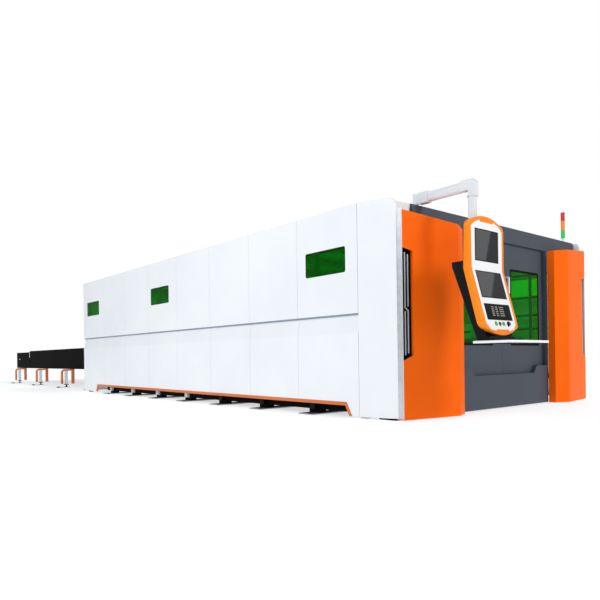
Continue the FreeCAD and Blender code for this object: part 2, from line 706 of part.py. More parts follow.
def wall_sills():
    """Black beams that carry the wall posts, their packing blocks and the corner pads."""
    inner = HALF_WIDTH - PANEL_DEPTH
    solids = [box(SILL_REAR, SILL_FRONT, -inner, -inner + SILL_WIDTH, SILL_LOW, SILL_HIGH)]
    for x in stations():
        solids.append(box(x - PACKER_HALF, x + PACKER_HALF, -inner, -inner + SILL_WIDTH,
                          PLATE_THICK, SILL_LOW))
    for x0, x1, y0, y1 in CORNER_PADS:
        solids.append(box(x0, x1, y0, y1, 0, WALL_FOOT))
    return both_sides(solids)


def wall_blocks():
    """Light spacer blocks between the sills and the wall, down to the packing blocks."""
    inner = HALF_WIDTH - PANEL_DEPTH
    solids = [box(x - BLOCK_HALF, x + BLOCK_HALF, -inner - BLOCK_DEPTH, -inner, SILL_LOW,
                  CUT_OUT[1][1] - TRIM_WIDTH) for x in stations()]
    return both_sides(solids)


def floor_plates():
    """Thin plates on the floor under the bed and the walls."""
    outer = -HALF_WIDTH - PLATE_PROUD_OF_WALL
    half = PLATE_WIDTH / 2
    solids = [box(x - half, x + half, outer, outer + PLATE_LENGTH, 0, PLATE_THICK) for x in stations()]
    return both_sides(solids)


# ---- doors -------------------------------------------------------------------------------
def door_track():
    """Slotted rail that the doors hang from."""
    low = DOOR_HIGH + TRACK_RISE[0]
    top = DOOR_HIGH + TRACK_RISE[1]
    lip = top - TRACK_LIP
    slot_top = top - TRACK_ROOF
    return prism_y([(COVER_FRONT, low), (TRACK_SLOT[0], low), (TRACK_SLOT[0], slot_top),
                    (TRACK_SLOT[1], slot_top), (TRACK_SLOT[1], low), (TRACK_CHEEK, low),
                    (TRACK_CHEEK, lip), (fascia_inside_x(lip), lip), (fascia_inside_x(top), top),
                    (COVER_FRONT, top)], -TRACK_HALF, TRACK_HALF)


def door_guide():
    """Grooved rail under the doors, which the skirt is fixed to."""
    low = DOOR_LOW - GUIDE_DROP[0]
    top = DOOR_LOW - GUIDE_DROP[1]
    groove = top - GUIDE_GROOVE
    return prism_y([(COVER_FRONT, low), (SKIRT_BACK, low), (SKIRT_BACK, top), (TRACK_SLOT[1], top),
                    (TRACK_SLOT[1], groove), (TRACK_SLOT[0], groove), (TRACK_SLOT[0], top),
                    (COVER_FRONT, top)], -TRACK_HALF, TRACK_HALF)


def door_leaf():
    """Near leaf: a folded tray with a window and guide tongues above and below."""
    y0 = -DOOR_MEET - DOOR_WIDTH
    y1 = -DOOR_MEET
    leaf = open_box(DOOR_BACK, DOOR_FACE, y0, y1, DOOR_LOW, DOOR_HIGH, SHEET, "-x")
    w0, w1, z0, z1 = DOOR_WINDOW
    opening = rounded_plate_x(DOOR_FACE - SHEET - 1, DOOR_FACE + 1, -w1, -w0, z0, z1, WINDOW_CORNER)
    leaf = leaf.cut(opening)
    y0 += BEYOND
    y1 -= BEYOND
    upper = box(TONGUE[0], TONGUE[1], y0, y1, DOOR_HIGH, DOOR_HIGH + TONGUE_LENGTH)
    lower = box(TONGUE[0], TONGUE[1], y0, y1, DOOR_LOW - TONGUE_FOOT, DOOR_LOW)
    return leaf.fuse(upper).fuse(lower).removeSplitter()


def door_pane():
    """Tinted pane behind the near leaf's opening."""
    w0, w1, z0, z1 = DOOR_WINDOW
    front = DOOR_FACE - SHEET
    return box(front - PANE, front, -w1 - PANE_LAP, -w0 + PANE_LAP, z0 - PANE_LAP, z1 + PANE_LAP)


def door_handle():
    """Bent white bar handle of the near leaf."""
    reach = DOOR_FACE + HANDLE_REACH
    y0 = -HANDLE_Y - HANDLE_WIDTH / 2
    y1 = -HANDLE_Y + HANDLE_WIDTH / 2
    outer = box(DOOR_FACE, reach, y0, y1, HANDLE_LOW, HANDLE_HIGH)
    bends = [e for e in outer.Edges if abs(e.CenterOfMass.x - reach) < 1
             and abs(e.tangentAt(e.FirstParameter).y) > 0.99]
    outer = outer.makeFillet(HANDLE_BAR, bends)
    return outer.cut(box(DOOR_FACE - 1, reach - HANDLE_BAR, y0 - 1, y1 + 1,
                         HANDLE_LOW + HANDLE_BAR, HANDLE_HIGH - HANDLE_BAR))


# ---- bed ---------------------------------------------------------------------------------
def machine_bed():
    """Welded bed: two long hollow beams, cross beams under the pallets, and legs."""
    solids = [tube_x(BED_REAR, BED_FRONT, -BED_OUTER, -BED_INNER, BED_LOW, BED_HIGH, BED_WALL)]
    for x in stations():
        solids.append(box(x - BED_LEG_HALF, x + BED_LEG_HALF, -BED_LEG[0], -BED_LEG[1],
                          PLATE_THICK, BED_LOW))
    solids = both_sides(solids)
    half, height = BED_CROSS
    for x in stations():
        solids.append(box(x - half, x + half, -BED_INNER, BED_INNER, BED_LOW, BED_LOW + height))
    return solids


def bed_rails():
    """Guide rail and toothless back bar of the rack on each bed beam."""
    x0 = BED_REAR + RAIL_ENDS[0]
    x1 = BED_FRONT - RAIL_ENDS[1]
    rail = box(x0, x1, -RAIL_Y - RAIL_WIDTH / 2, -RAIL_Y + RAIL_WIDTH / 2,
               BED_HIGH, BED_HIGH + RAIL_HEIGHT)
    rack = box(x0, x1, -RACK_Y - RACK_WIDTH / 2, -RACK_Y + RACK_WIDTH / 2,
               BED_HIGH, BED_HIGH + RACK_WIDTH)
    return both_sides([rail, rack])


def pallet_tracks():
    """Ledges at two levels that run through the bed and the exchange table."""
    solids = [box(TRACK_REAR, TRACK_FRONT, -BED_INNER, -TRACK_INNER, top - TRACK_THICK, top)
              for top in (UPPER_TRACK, LOWER_TRACK)]
    return both_sides(solids)


# ---- gantry ------------------------------------------------------------------------------
def gantry_beam():
    """Hollow cross beam on two end carriages that straddle the bed rails."""
    x0 = GANTRY_REAR
    x1 = GANTRY_REAR + GANTRY_SIZE
    top = GANTRY_LOW + GANTRY_SIZE
    outer = box(x0, x1, -GANTRY_HALF, GANTRY_HALF, GANTRY_LOW, top)
    inner = box(x0 + GANTRY_WALL, x1 - GANTRY_WALL, -GANTRY_HALF - 1, GANTRY_HALF + 1,
                GANTRY_LOW + GANTRY_WALL, top - GANTRY_WALL)
    low = BED_HIGH + END_LIFT
    x0 -= END_PROUD
    x1 += END_PROUD
    rail_half = RAIL_WIDTH / 2 + GUIDE_GAP
    rack_out, rack_in, rack_over = RACK_ROOM
    end = box(x0, x1, -GANTRY_HALF, -END_INNER, low, GANTRY_LOW)
    rail_room = box(x0 - 1, x1 + 1, -RAIL_Y - rail_half, -RAIL_Y + rail_half,
                    low - 1, BED_HIGH + RAIL_HEIGHT + GUIDE_GAP)
    rack_room = box(x0 - 1, x1 + 1, -RACK_Y - RACK_WIDTH / 2 - rack_out,
                    -RACK_Y + RACK_WIDTH / 2 + rack_in, low - 1, BED_HIGH + RACK_WIDTH + rack_over)
    return [outer.cut(inner)] + both_sides([end.cut(rail_room).cut(rack_room)])


def cross_rails():
    """Two guide rails on the rear face of the gantry beam."""
    half = GANTRY_HALF - CROSS_RAIL_INSET
    return [box(GANTRY_REAR - CROSS_RAIL_SIZE, GANTRY_REAR, -half, half,
                z - CROSS_RAIL_SIZE / 2, z + CROSS_RAIL_SIZE / 2) for z in CROSS_RAIL_Z]


def head_carriage():
    """Plate with bearing blocks round the cross rails, and the guide ribs of the lift slide."""
    face = GANTRY_REAR - CROSS_RAIL_SIZE - CARRIAGE_GAP
    back = face - CARRIAGE_PLATE
    low, top = CARRIAGE_Z
    half_length, half_height, gap = BEARING_SIZE
    body = box(back, face, -CARRIAGE_HALF, CARRIAGE_HALF, low, top)
    groove_half = CROSS_RAIL_SIZE / 2 + GUIDE_GAP
    for z in CROSS_RAIL_Z:
        block = box(face, GANTRY_REAR - gap, -half_length, half_length, z - half_height, z + half_height)
        groove = box(GANTRY_REAR - CROSS_RAIL_SIZE - GUIDE_GAP, GANTRY_REAR, -CARRIAGE_HALF,
                     CARRIAGE_HALF, z - groove_half, z + groove_half)
        body = body.fuse(block.cut(groove))
    for y in (-RIB_Y, RIB_Y):
        body = body.fuse(box(back - RIB_DEPTH, back, y - RIB_HALF, y + RIB_HALF, low, top))
    return body.removeSplitter()


def lift_slide():
    """Vertical slide between the carriage's guide ribs, with the bracket for the head."""
    front = GANTRY_REAR - CROSS_RAIL_SIZE - CARRIAGE_GAP - CARRIAGE_PLATE
    back = front - SLIDE_DEPTH
    slide = box(back, front - CONTACT_GAP, -SLIDE_HALF, SLIDE_HALF, *SLIDE_Z)
    bracket = box(BRACKET_X, back, -BRACKET_HALF, BRACKET_HALF, *BRACKET_Z)
    bore = rod((HEAD_X, 0, GANTRY_LOW), (0, 0, 1), HEAD_R, SLIDE_Z[1] - GANTRY_LOW)
    return slide.fuse(bracket).cut(bore).removeSplitter()


def cutting_head():
    """Turned cutting head from fibre connector down to the nozzle tip."""
    points = [Vector(HEAD_X, 0, NOZZLE_TIP)]
    points += [Vector(HEAD_X + radius, 0, NOZZLE_TIP + rise) for radius, rise in HEAD_STEPS]
    points.append(Vector(HEAD_X, 0, NOZZLE_TIP + HEAD_STEPS[-1][1]))
    profile = Part.Face(Part.makePolygon(points + points[:1]))
    return profile.revolve(Vector(HEAD_X, 0, 0), Vector(0, 0, 1), 360)


# ---- pallets -----------------------------------------------------------------------------
def roller(x, side, track_top):
    """Roller of turned bar with flats, standing out of the pallet's side over its track."""
    z = track_top + ROLLER_R + CONTACT_GAP
    y = side * PALLET_HALF
    corners = []
    for k in range(ROLLER_SIDES):
        angle = 2 * math.pi * (k + 0.5) / ROLLER_SIDES
        corners.append((x + ROLLER_R * math.cos(angle), z + ROLLER_R * math.sin(angle)))
    return prism_y(corners, y, y + side * ROLLER_LENGTH)


def pallet_frame(middle, track_top):
    """Pallet frame of square tubes with rollers that stand over the track."""
    low = track_top + PALLET_LIFT
    high = low + PALLET_FRAME
    x0 = middle - PALLET_LENGTH / 2
    x1 = middle + PALLET_LENGTH / 2
    inner = PALLET_HALF - PALLET_FRAME
    solids = [box(x0, x1, -PALLET_HALF, -inner, low, high), box(x0, x1, inner, PALLET_HALF, low, high)]
    pitch = (PALLET_LENGTH - 2 * ROLLER_INSET) / (ROLLER_COUNT - 1)
    for side in (-1, 1):
        for k in range(ROLLER_COUNT):
            solids.append(roller(x0 + ROLLER_INSET + k * pitch, side, track_top))
    for k in range(PALLET_CROSS + 1):
        x = x0 + k * (PALLET_LENGTH - PALLET_FRAME) / PALLET_CROSS
        solids.append(box(x, x + PALLET_FRAME, -inner, inner, low, high))
    return solids


def pallet_slats(middle, track_top):
    """Upright support slats across the pallet, evenly spaced."""
    low = track_top + PALLET_LIFT + PALLET_FRAME
    half = PALLET_HALF - SLAT_INSET[1]
    count = int((PALLET_LENGTH - 2 * SLAT_INSET[0]) / SLAT_PITCH)
    first = middle - SLAT_PITCH * (count - 1) / 2
    return [box(x - SLAT_THICK / 2, x + SLAT_THICK / 2, -half, half, low, low + SLAT_HEIGHT)
            for x in (first + SLAT_PITCH * k for k in range(count))]


# ---- exchange table ----------------------------------------------------------------------
def table_beams():
    """Long side boxes of the exchange table, the lower end boxes and the cross members."""
    step_rear = TABLE_STEP - TABLE_STEP_GAP
    near = [tube_x(TABLE_STEP, TABLE_FRONT, -TABLE_OUTER, -BED_INNER, TABLE_LOW, TABLE_TOP, TABLE_WALL),
            tube_x(TABLE_END, step_rear, -TABLE_OUTER, -BED_INNER, TABLE_LOW, TABLE_END_TOP, TABLE_WALL),
            box(step_rear, TABLE_STEP, -TABLE_OUTER + TABLE_STEP_INSET, -BED_INNER, TABLE_LOW,
                TABLE_END_TOP - TABLE_STEP_INSET)]
    solids = both_sides(near)
    half, height = CROSS_MEMBER
    for x in SUPPORT_X:
        solids.append(box(x - half, x + half, -BED_INNER, BED_INNER, TABLE_LOW, TABLE_LOW + height))
    length, top = END_MEMBER
    solids.append(box(TABLE_END, TABLE_END + length, -BED_INNER, BED_INNER, TABLE_LOW, top))
    return solids


def support_arch(x):
    """Bent outrigger leg under the near side of the table, rounded at its outer shoulder."""
    outer, inner = ARCH_Y
    leg, inner_leg = ARCH_LEG
    arch = box(x - ARCH_HALF, x + ARCH_HALF, outer, inner, ARCH_FOOT, TABLE_LOW)
    shoulder = [e for e in arch.Edges if abs(e.CenterOfMass.y - outer) < 1
                and abs(e.CenterOfMass.z - TABLE_LOW) < 1]
    arch = arch.makeFillet(ARCH_ROUND, shoulder)
    hollow = box(x - ARCH_HALF - 1, x + ARCH_HALF + 1, outer + leg, inner - inner_leg,
                 ARCH_FOOT - 1, TABLE_LOW - leg)
    crown = [e for e in hollow.Edges if abs(e.CenterOfMass.y - outer - leg) < 1
             and abs(e.CenterOfMass.z - TABLE_LOW + leg) < 1]
    return arch.cut(hollow.makeChamfer((ARCH_ROUND - leg) / 2, crown))


def support_posts():
    """Light square posts between the legs of each arch."""
    solids = [box(x - POST_HALF, x + POST_HALF, POST_Y - POST_HALF, POST_Y + POST_HALF, POST_FOOT,
                  TABLE_LOW - ARCH_LEG[0]) for x in SUPPORT_X]
    return both_sides(solids)


def levelling_feet():
    """Black levelling feet under the posts: a head plate on a hexagonal stem and a square shoe."""
    head_x, head_y, head_low = FOOT_HEAD
    shoe, shoe_top = FOOT_SHOE
    pad, pad_outer, pad_top = OUTBOARD_PAD
    solids = []
    for x in SUPPORT_X:
        corners = [(x + FOOT_STEM * math.cos(math.radians(60 * k)),
                    POST_Y + FOOT_STEM * math.sin(math.radians(60 * k))) for k in range(6)]
        head = box(x - head_x, x + head_x, POST_Y - head_y, POST_Y + head_y, head_low, POST_FOOT)
        base = box(x - shoe, x + shoe, POST_Y - shoe, POST_Y + shoe, BAR_THICK, shoe_top)
        solids.append(head.fuse(prism_z(corners, shoe_top, head_low)).fuse(base).removeSplitter())
        solids.append(box(x - pad, x + pad, pad_outer, BAR_Y[0], 0, pad_top))
    return both_sides(solids)


def floor_bars():
    """Thin bars on the floor that tie each levelling foot to its outboard pad."""
    solids = [box(x - BAR_HALF, x + BAR_HALF, BAR_Y[0], BAR_Y[1], 0, BAR_THICK) for x in SUPPORT_X]
    return both_sides(solids)


def drive_shaft():
    """Shaft across the end of the table with a smooth chain wheel near each end."""
    shaft = rod((SHAFT_X, -SHAFT_HALF, SHAFT_Z), (0, 1, 0), SHAFT_R, 2 * SHAFT_HALF)
    for y in (-WHEEL_Y, WHEEL_Y):
        shaft = shaft.fuse(rod((SHAFT_X, y - WHEEL_HALF, SHAFT_Z), (0, 1, 0), WHEEL_R, 2 * WHEEL_HALF))
    return shaft.removeSplitter()


def shaft_bearings():
    """Bearing stands of the drive shaft on a cross plate."""
    foot, head, half, rise = BEARING_STAND
    low = TABLE_LOW + CROSS_MEMBER[1]
    bore = rod((SHAFT_X, -BED_INNER, SHAFT_Z), (0, 1, 0), SHAFT_R + RUNNING_GAP, 2 * BED_INNER)
    outline = [(SHAFT_X - foot, low), (SHAFT_X + foot, low), (SHAFT_X + head, SHAFT_Z + rise),
               (SHAFT_X - head, SHAFT_Z + rise)]
    stands = [prism_y(outline, y - half, y + half).cut(bore) for y in (-BEARING_Y, BEARING_Y)]
    plate = foot + BEYOND
    stands.append(box(SHAFT_X - plate, SHAFT_X + plate, -BED_INNER, BED_INNER, TABLE_LOW, low))
    return stands


def exchange_motor():
    """Gear motor beside the drive shaft, on a foot against the cross plate."""
    y0, y1, y2 = MOTOR_Y
    x1 = SHAFT_X - BEARING_STAND[0] - BEYOND
    gearbox = box(MOTOR_X - MOTOR_HALF, MOTOR_X + MOTOR_HALF, y0, y1, TABLE_LOW + CROSS_MEMBER[1], MOTOR_TOP)
    motor = rod((MOTOR_X, y1, MOTOR_Z), (0, 1, 0), MOTOR_R, y2 - y1)
    foot = box(MOTOR_X - MOTOR_HALF, x1, y0, y1, TABLE_LOW, TABLE_LOW + CROSS_MEMBER[1])
    return gearbox.fuse(motor).fuse(foot).removeSplitter()


# ---- console arm and pendant -------------------------------------------------------------
def arm_base():
    """Square flange and stub post on the roof."""
    half, thick = ARM_FOOT
    flange = box(ARM_X - half, ARM_X + half, ARM_Y - half, ARM_Y + half, ROOF_TOP, ROOF_TOP + thick)
    post = rod((ARM_X, ARM_Y, ROOF_TOP), (0, 0, 1), ARM_POST_R, ARM_STUB - ROOF_TOP)
    return flange.fuse(post).removeSplitter()


def console_arm():
    """Turning post, level tube with rounded edges, sleeve, and the box elbow over the pendant."""
    low = ARM_STUB + CONTACT_GAP
    post = rod((ARM_X, ARM_Y, low), (0, 0, 1), ARM_POST_R, ARM_POST_TOP - low)
    tube = box(ARM_X + ARM_POST_R / 2, ELBOW_X[0], ARM_Y - ARM_TUBE_HALF, ARM_Y + ARM_TUBE_HALF, *ARM_TUBE_Z)
    long_edges = [e for e in tube.Edges if abs(e.tangentAt(e.FirstParameter).x) > 0.99]
    tube = tube.makeFillet(ARM_ROUND, long_edges)
    x0, x1, half, z0, z1 = ARM_SLEEVE
    sleeve = box(x0, x1, ARM_Y - half, ARM_Y + half, z0, z1)
    left, neck, front = ELBOW_X
    elbow = prism_y([(left, ELBOW_UNDER), (neck, ELBOW_UNDER), (neck, ELBOW_LOW), (front, ELBOW_LOW),
                     (front, ELBOW_TOP - ELBOW_CHAMFER), (front - ELBOW_CHAMFER, ELBOW_TOP),
                     (left, ELBOW_TOP)], ARM_Y - ELBOW_HALF, ARM_Y + ELBOW_HALF)
    return post.fuse(tube).fuse(sleeve).fuse(elbow).removeSplitter()


def face_point(z, depth):
    """(x, z) of the bent pendant face at height z, moved inwards by depth."""
    tilt = math.radians(PENDANT_TILT)
    if z >= PENDANT_BEND:
        return (PENDANT_FACE - depth, z)
    return (PENDANT_FACE + (PENDANT_BEND - z) * math.tan(tilt) - depth / math.cos(tilt), z)


def bend_point(depth):
    """(x, z) of the crease of the pendant at a given depth behind its face."""
    drop = depth * math.tan(math.radians(PENDANT_TILT) / 2)
    return (PENDANT_FACE - depth, PENDANT_BEND - drop)


def bent_slab(front, back, top_back):
    """Slab that follows the bent face between two depths, with its own depth at the top."""
    high, low = PENDANT_TOP + BEYOND, PENDANT_LOW - BEYOND
    outline = [face_point(high, front), bend_point(front), face_point(low, front),
               face_point(low, back), bend_point(back), face_point(high, top_back)]
    half = PENDANT_HALF + BEYOND
    return prism_y(outline, PENDANT_Y - half, PENDANT_Y + half)


def arched_outline():
    """(y, z) wire of the pendant's outline: straight sides, round shoulders, arched ends."""
    half, shoulder = PENDANT_HALF, PENDANT_SHOULDER
    sides = half - shoulder
    bulge = shoulder * (1 - math.sqrt(0.5))
    high = PENDANT_TOP - PENDANT_RISE
    low = PENDANT_LOW + PENDANT_RISE

    def at(y, z):
        return Vector(0, PENDANT_Y + y, z)
    edges = [Part.LineSegment(at(half, low + shoulder), at(half, high - shoulder)),
             Part.Arc(at(half, high - shoulder), at(half - bulge, high - bulge), at(sides, high)),
             Part.Arc(at(sides, high), at(0, PENDANT_TOP), at(-sides, high)),
             Part.Arc(at(-sides, high), at(-half + bulge, high - bulge), at(-half, high - shoulder)),
             Part.LineSegment(at(-half, high - shoulder), at(-half, low + shoulder)),
             Part.Arc(at(-half, low + shoulder), at(-half + bulge, low + bulge), at(-sides, low)),
             Part.Arc(at(-sides, low), at(0, PENDANT_LOW), at(sides, low)),
             Part.Arc(at(sides, low), at(half - bulge, low + bulge), at(half, low + shoulder))]
    return Part.Wire([e.toShape() for e in edges])


def face_window(near, far, low, top):
    """Block through the pendant face over a rectangle, its sides measured from the middle."""
    return box(0, 2 * PENDANT_FACE, PENDANT_Y + near, PENDANT_Y + far, low, top)


def face_plate_block():
    """The face plate before its screens, pad and holes are cut."""
    outline = prism_x([(PENDANT_Y + y, z) for y, z in FACE_OUTLINE], 0, 2 * PENDANT_FACE)
    return bent_slab(-PLATE_PROUD, FACE_THICK, FACE_THICK).common(outline)


def screen_blocks():
    """Upper and lower screen, let into the face plate."""
    slab = bent_slab(-SCREEN_THICK, FACE_THICK, FACE_THICK)
    return [slab.common(face_window(*UPPER_SCREEN)), slab.common(face_window(*LOWER_SCREEN))]


def keypad_block():
    """Flat membrane key pad under the screens."""
    return bent_slab(-SCREEN_THICK, FACE_THICK, FACE_THICK).common(face_window(*KEYPAD))


def face_normal():
    """Outward normal of the tilted lower face."""
    tilt = math.radians(PENDANT_TILT)
    return Vector(math.cos(tilt), 0, math.sin(tilt))


def below_face(y, z, depth):
    """Point at a depth behind the tilted lower face."""
    x = PENDANT_FACE + (PENDANT_BEND - z) * math.tan(math.radians(PENDANT_TILT))
    return Vector(x, y, z) - face_normal() * depth


def control_holes():
    """Bores for the buttons and the knob's stem, from outside the face down into the shell."""
    length = BORE_DEPTH + BEYOND
    bores = [(y, BUTTON_R + CONTACT_GAP) for y in BUTTON_Y.values()] + [(KNOB_Y, STEM_R + RUNNING_GAP)]
    return [Part.makeCylinder(radius, length, below_face(y, BUTTON_Z, BORE_DEPTH), face_normal())
            for y, radius in bores]


def push_button(y):
    """Round push button standing out of the face by its travel and a little more."""
    return Part.makeCylinder(BUTTON_R, BUTTON_STEM + BUTTON_PROUD, below_face(y, BUTTON_Z, BUTTON_STEM),
                             face_normal())


def lobed_outline(centre):
    """Closed wire round a point of the tilted face: a circle with shallow lobes."""
    across = Vector(0, 1, 0)
    up = face_normal().cross(across)
    lobes, share = KNOB_LOBES
    corners = []
    for k in range(KNOB_SIDES):
        angle = 2 * math.pi * k / KNOB_SIDES
        radius = KNOB_R * (1 - share + share * math.cos(lobes * angle))
        corners.append(centre + across * (radius * math.cos(angle)) + up * (radius * math.sin(angle)))
    return Part.makePolygon(corners + corners[:1])


def control_knob():
    """Rotary knob with three lobes, on its stem."""
    under = PLATE_PROUD + CONTACT_GAP
    knob = Part.Face(lobed_outline(below_face(KNOB_Y, BUTTON_Z, -under))).extrude(face_normal() * KNOB_HEIGHT)
    stem = Part.makeCylinder(STEM_R, STEM_DEPTH + under, below_face(KNOB_Y, BUTTON_Z, STEM_DEPTH),
                             face_normal())
    return knob.fuse(stem).removeSplitter()


def pendant_shell():
    """Bent amber housing with a pocket for the face plate and bores for the controls."""
    outline = Part.Face(arched_outline()).extrude(Vector(2 * PENDANT_FACE, 0, 0))
    shell = bent_slab(0, PENDANT_DEPTH, PENDANT_THIN).common(outline).cut(face_plate_block())
    for hole in control_holes():
        shell = shell.cut(hole)
    return shell


def face_plate():
    """White plate round the screens, pad and controls, a little proud of the shell."""
    plate = face_plate_block()
    for piece in screen_blocks() + [keypad_block()] + control_holes():
        plate = plate.cut(piece)
    return plate


def back_box():
    """Black bracket behind and below the shell, with the drop tube's seat on top."""
    under = face_point(BOX_UNDER, BOX_REACH)
    outline = list(BOX_SPINE) + [(under[0], BOX_SPINE[-1][1]), under,
                                 face_point(BOX_UNDER, PENDANT_DEPTH), bend_point(PENDANT_DEPTH),
                                 face_point(BOX_TOP, PENDANT_DEPTH)]
    return prism_y(outline, ARM_Y - BOX_HALF, ARM_Y + BOX_HALF)


def drop_tube():
    """Round tube from the elbow down to the back box, with a collar ring under the elbow."""
    radius, thick = DROP_RING
    top = ELBOW_LOW - CONTACT_GAP
    tube = rod((DROP_X, ARM_Y, BOX_TOP), (0, 0, 1), DROP_DIA / 2, top - BOX_TOP)
    return tube.fuse(rod((DROP_X, ARM_Y, top - thick), (0, 0, 1), radius, thick)).removeSplitter()


def keyboard_tray():
    """Slim tray under the pendant with rounded ends and a gently bowed front edge."""
    y0, y1 = TRAY_SIDES
    front = TRAY_FRONT - TRAY_BOW
    edges = [Part.LineSegment(Vector(front, y1, TRAY_Z), Vector(TRAY_BACK, y1, TRAY_Z)),
             Part.LineSegment(Vector(TRAY_BACK, y1, TRAY_Z), Vector(TRAY_BACK, y0, TRAY_Z)),
             Part.LineSegment(Vector(TRAY_BACK, y0, TRAY_Z), Vector(front, y0, TRAY_Z)),
             Part.Arc(Vector(front, y0, TRAY_Z), Vector(TRAY_FRONT, (y0 + y1) / 2, TRAY_Z),
                      Vector(front, y1, TRAY_Z))]
    plate = Part.Face(Part.Wire([e.toShape() for e in edges])).extrude(Vector(0, 0, TRAY_THICK))
    corners = [e for e in plate.Edges if abs(e.tangentAt(e.FirstParameter).z) > 0.99]
    return plate.makeFillet(TRAY_ROUND, corners)


# ---- stack light -------------------------------------------------------------------------
def light_base():
    """Foot, pole and cup of the signal lamp on the roof."""
    low = LIGHT_TOP - 3 * LIGHT_MODULE - LIGHT_CUP
    half, thick = LIGHT_FOOT
    foot = box(LIGHT_X - half, LIGHT_X + half, LIGHT_Y - half, LIGHT_Y + half, ROOF_TOP, ROOF_TOP + thick)
    pole = rod((LIGHT_X, LIGHT_Y, ROOF_TOP), (0, 0, 1), LIGHT_POLE_R, low - ROOF_TOP)
    cup = rod((LIGHT_X, LIGHT_Y, low), (0, 0, 1), LIGHT_R, LIGHT_CUP)
    return foot.fuse(pole).fuse(cup).removeSplitter()


def light_module(index):
    """One coloured lens; index 0 is the lowest."""
    low = LIGHT_TOP - (3 - index) * LIGHT_MODULE
    return rod((LIGHT_X, LIGHT_Y, low), (0, 0, 1), LIGHT_R, LIGHT_MODULE)


# ---- the whole machine -------------------------------------------------------------------
near_panels = near_side_panels()
save("near_side_panels", near_panels)
save("far_side_panels", [mirrored(p) for p in near_panels])
save("side_windows", both_sides(window_panes()))
save("skirt_trims", both_sides(near_trim()))
corner = front_corner_cover()
save("near_front_corner", corner)
save("far_front_corner", mirrored(corner))
save("rear_wall", rear_wall())
save("roof_panels", roof_panels())
save("front_fascia", front_fascia())
pillar = pillar_cover()
save("near_pillar_cover", pillar)
save("far_pillar_cover", mirrored(pillar))
save("vent_inserts", both_sides([vent_insert()]))
save("vent_strips", both_sides(vent_strips()))
save("front_skirt", [front_skirt()] + both_sides([door_jamb()]))
save("enclosure_frame", enclosure_frame())
save("wall_sills", wall_sills())
save("wall_blocks", wall_blocks())
save("floor_plates", floor_plates() + floor_bars())
save("door_track", [door_track(), door_guide()])

leaf = door_leaf()
save("left_door_leaf", leaf)
save("right_door_leaf", mirrored(leaf))
save("left_door_pane", door_pane())
save("right_door_pane", mirrored(door_pane()))
save("left_door_handle", door_handle())
save("right_door_handle", mirrored(door_handle()))

save("machine_bed", machine_bed())
save("bed_rails", bed_rails())
save("pallet_tracks", pallet_tracks())
save("gantry_beam", gantry_beam())
save("cross_rails", cross_rails())
save("head_carriage", head_carriage())
save("lift_slide", lift_slide())
save("cutting_head", cutting_head())

save("upper_pallet_frame", pallet_frame(PALLET_OUTSIDE, UPPER_TRACK))
save("upper_pallet_slats", pallet_slats(PALLET_OUTSIDE, UPPER_TRACK))
save("lower_pallet_frame", pallet_frame(PALLET_INSIDE, LOWER_TRACK))
save("lower_pallet_slats", pallet_slats(PALLET_INSIDE, LOWER_TRACK))

save("table_frame", table_beams() + shaft_bearings())
save("support_arches", both_sides([support_arch(x) for x in SUPPORT_X]))
save("support_posts", support_posts())
save("levelling_feet", levelling_feet())
save("exchange_shaft", drive_shaft())
save("exchange_motor", exchange_motor())

save("console_arm_base", arm_base())
save("console_arm", console_arm())
save("drop_tube", drop_tube())
save("pendant_back_box", back_box())
save("pendant_shell", pendant_shell())
save("face_plate", face_plate())
save("screens", screen_blocks())
save("keypad", keypad_block())
save("keyboard_tray", keyboard_tray())
for name, y in BUTTON_Y.items():
    save(name, push_button(y))
save("control_knob", control_knob())

save("signal_light_base", light_base())
for name, index in (("signal_light_green", 0), ("signal_light_amber", 1), ("signal_light_red", 2)):
    save(name, light_module(index))
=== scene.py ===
import math
import bmesh
import bpy
import numpy as np
from mathutils import Matrix


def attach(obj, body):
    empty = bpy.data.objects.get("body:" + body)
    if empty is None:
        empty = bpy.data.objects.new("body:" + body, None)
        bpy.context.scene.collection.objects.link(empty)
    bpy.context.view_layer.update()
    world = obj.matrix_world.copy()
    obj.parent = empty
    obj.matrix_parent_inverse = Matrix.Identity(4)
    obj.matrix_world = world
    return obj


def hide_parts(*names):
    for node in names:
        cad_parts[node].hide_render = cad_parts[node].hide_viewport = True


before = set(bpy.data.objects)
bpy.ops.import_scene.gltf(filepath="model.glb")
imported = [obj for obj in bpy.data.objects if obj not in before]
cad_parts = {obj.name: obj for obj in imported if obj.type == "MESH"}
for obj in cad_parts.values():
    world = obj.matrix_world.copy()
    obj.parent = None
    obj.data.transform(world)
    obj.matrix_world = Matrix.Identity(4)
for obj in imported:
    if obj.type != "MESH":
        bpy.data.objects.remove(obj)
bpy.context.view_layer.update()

# Looks of the laser cutting machine. New pieces are drawn in millimetres from the drawing's own
# zero: x runs to the front, y to the far side, z up from the floor. Lights and camera are in metres.


# ---- nodes and colours -------------------------------------------------------------------
METRE = 1000.0               # in millimetres; Object coordinates are in metres
GRAIN_STRENGTH = 0.35        # share of the drawn grain height that the bump shows
PEEL_HEIGHT = 0.12           # orange peel of a powder coat, mm from hollow to crest
MOULD_HEIGHT = 0.05
MARK_HEIGHT = 0.04           # marks left by a tool on metal
PAINT_PATCH = 900.0          # width of a soft patch of slightly other colour, mm
PLASTIC_PATCH = 120.0
METAL_PATCH = 60.0


def linear(code):
    """Linear colour of an sRGB hex code: each channel through the sRGB curve's inverse."""
    channels = [int(code[i:i + 2], 16) / 255 for i in (1, 3, 5)]
    return [c / 12.92 if c <= 0.04045 else ((c + 0.055) / 1.055) ** 2.4 for c in channels] + [1.0]


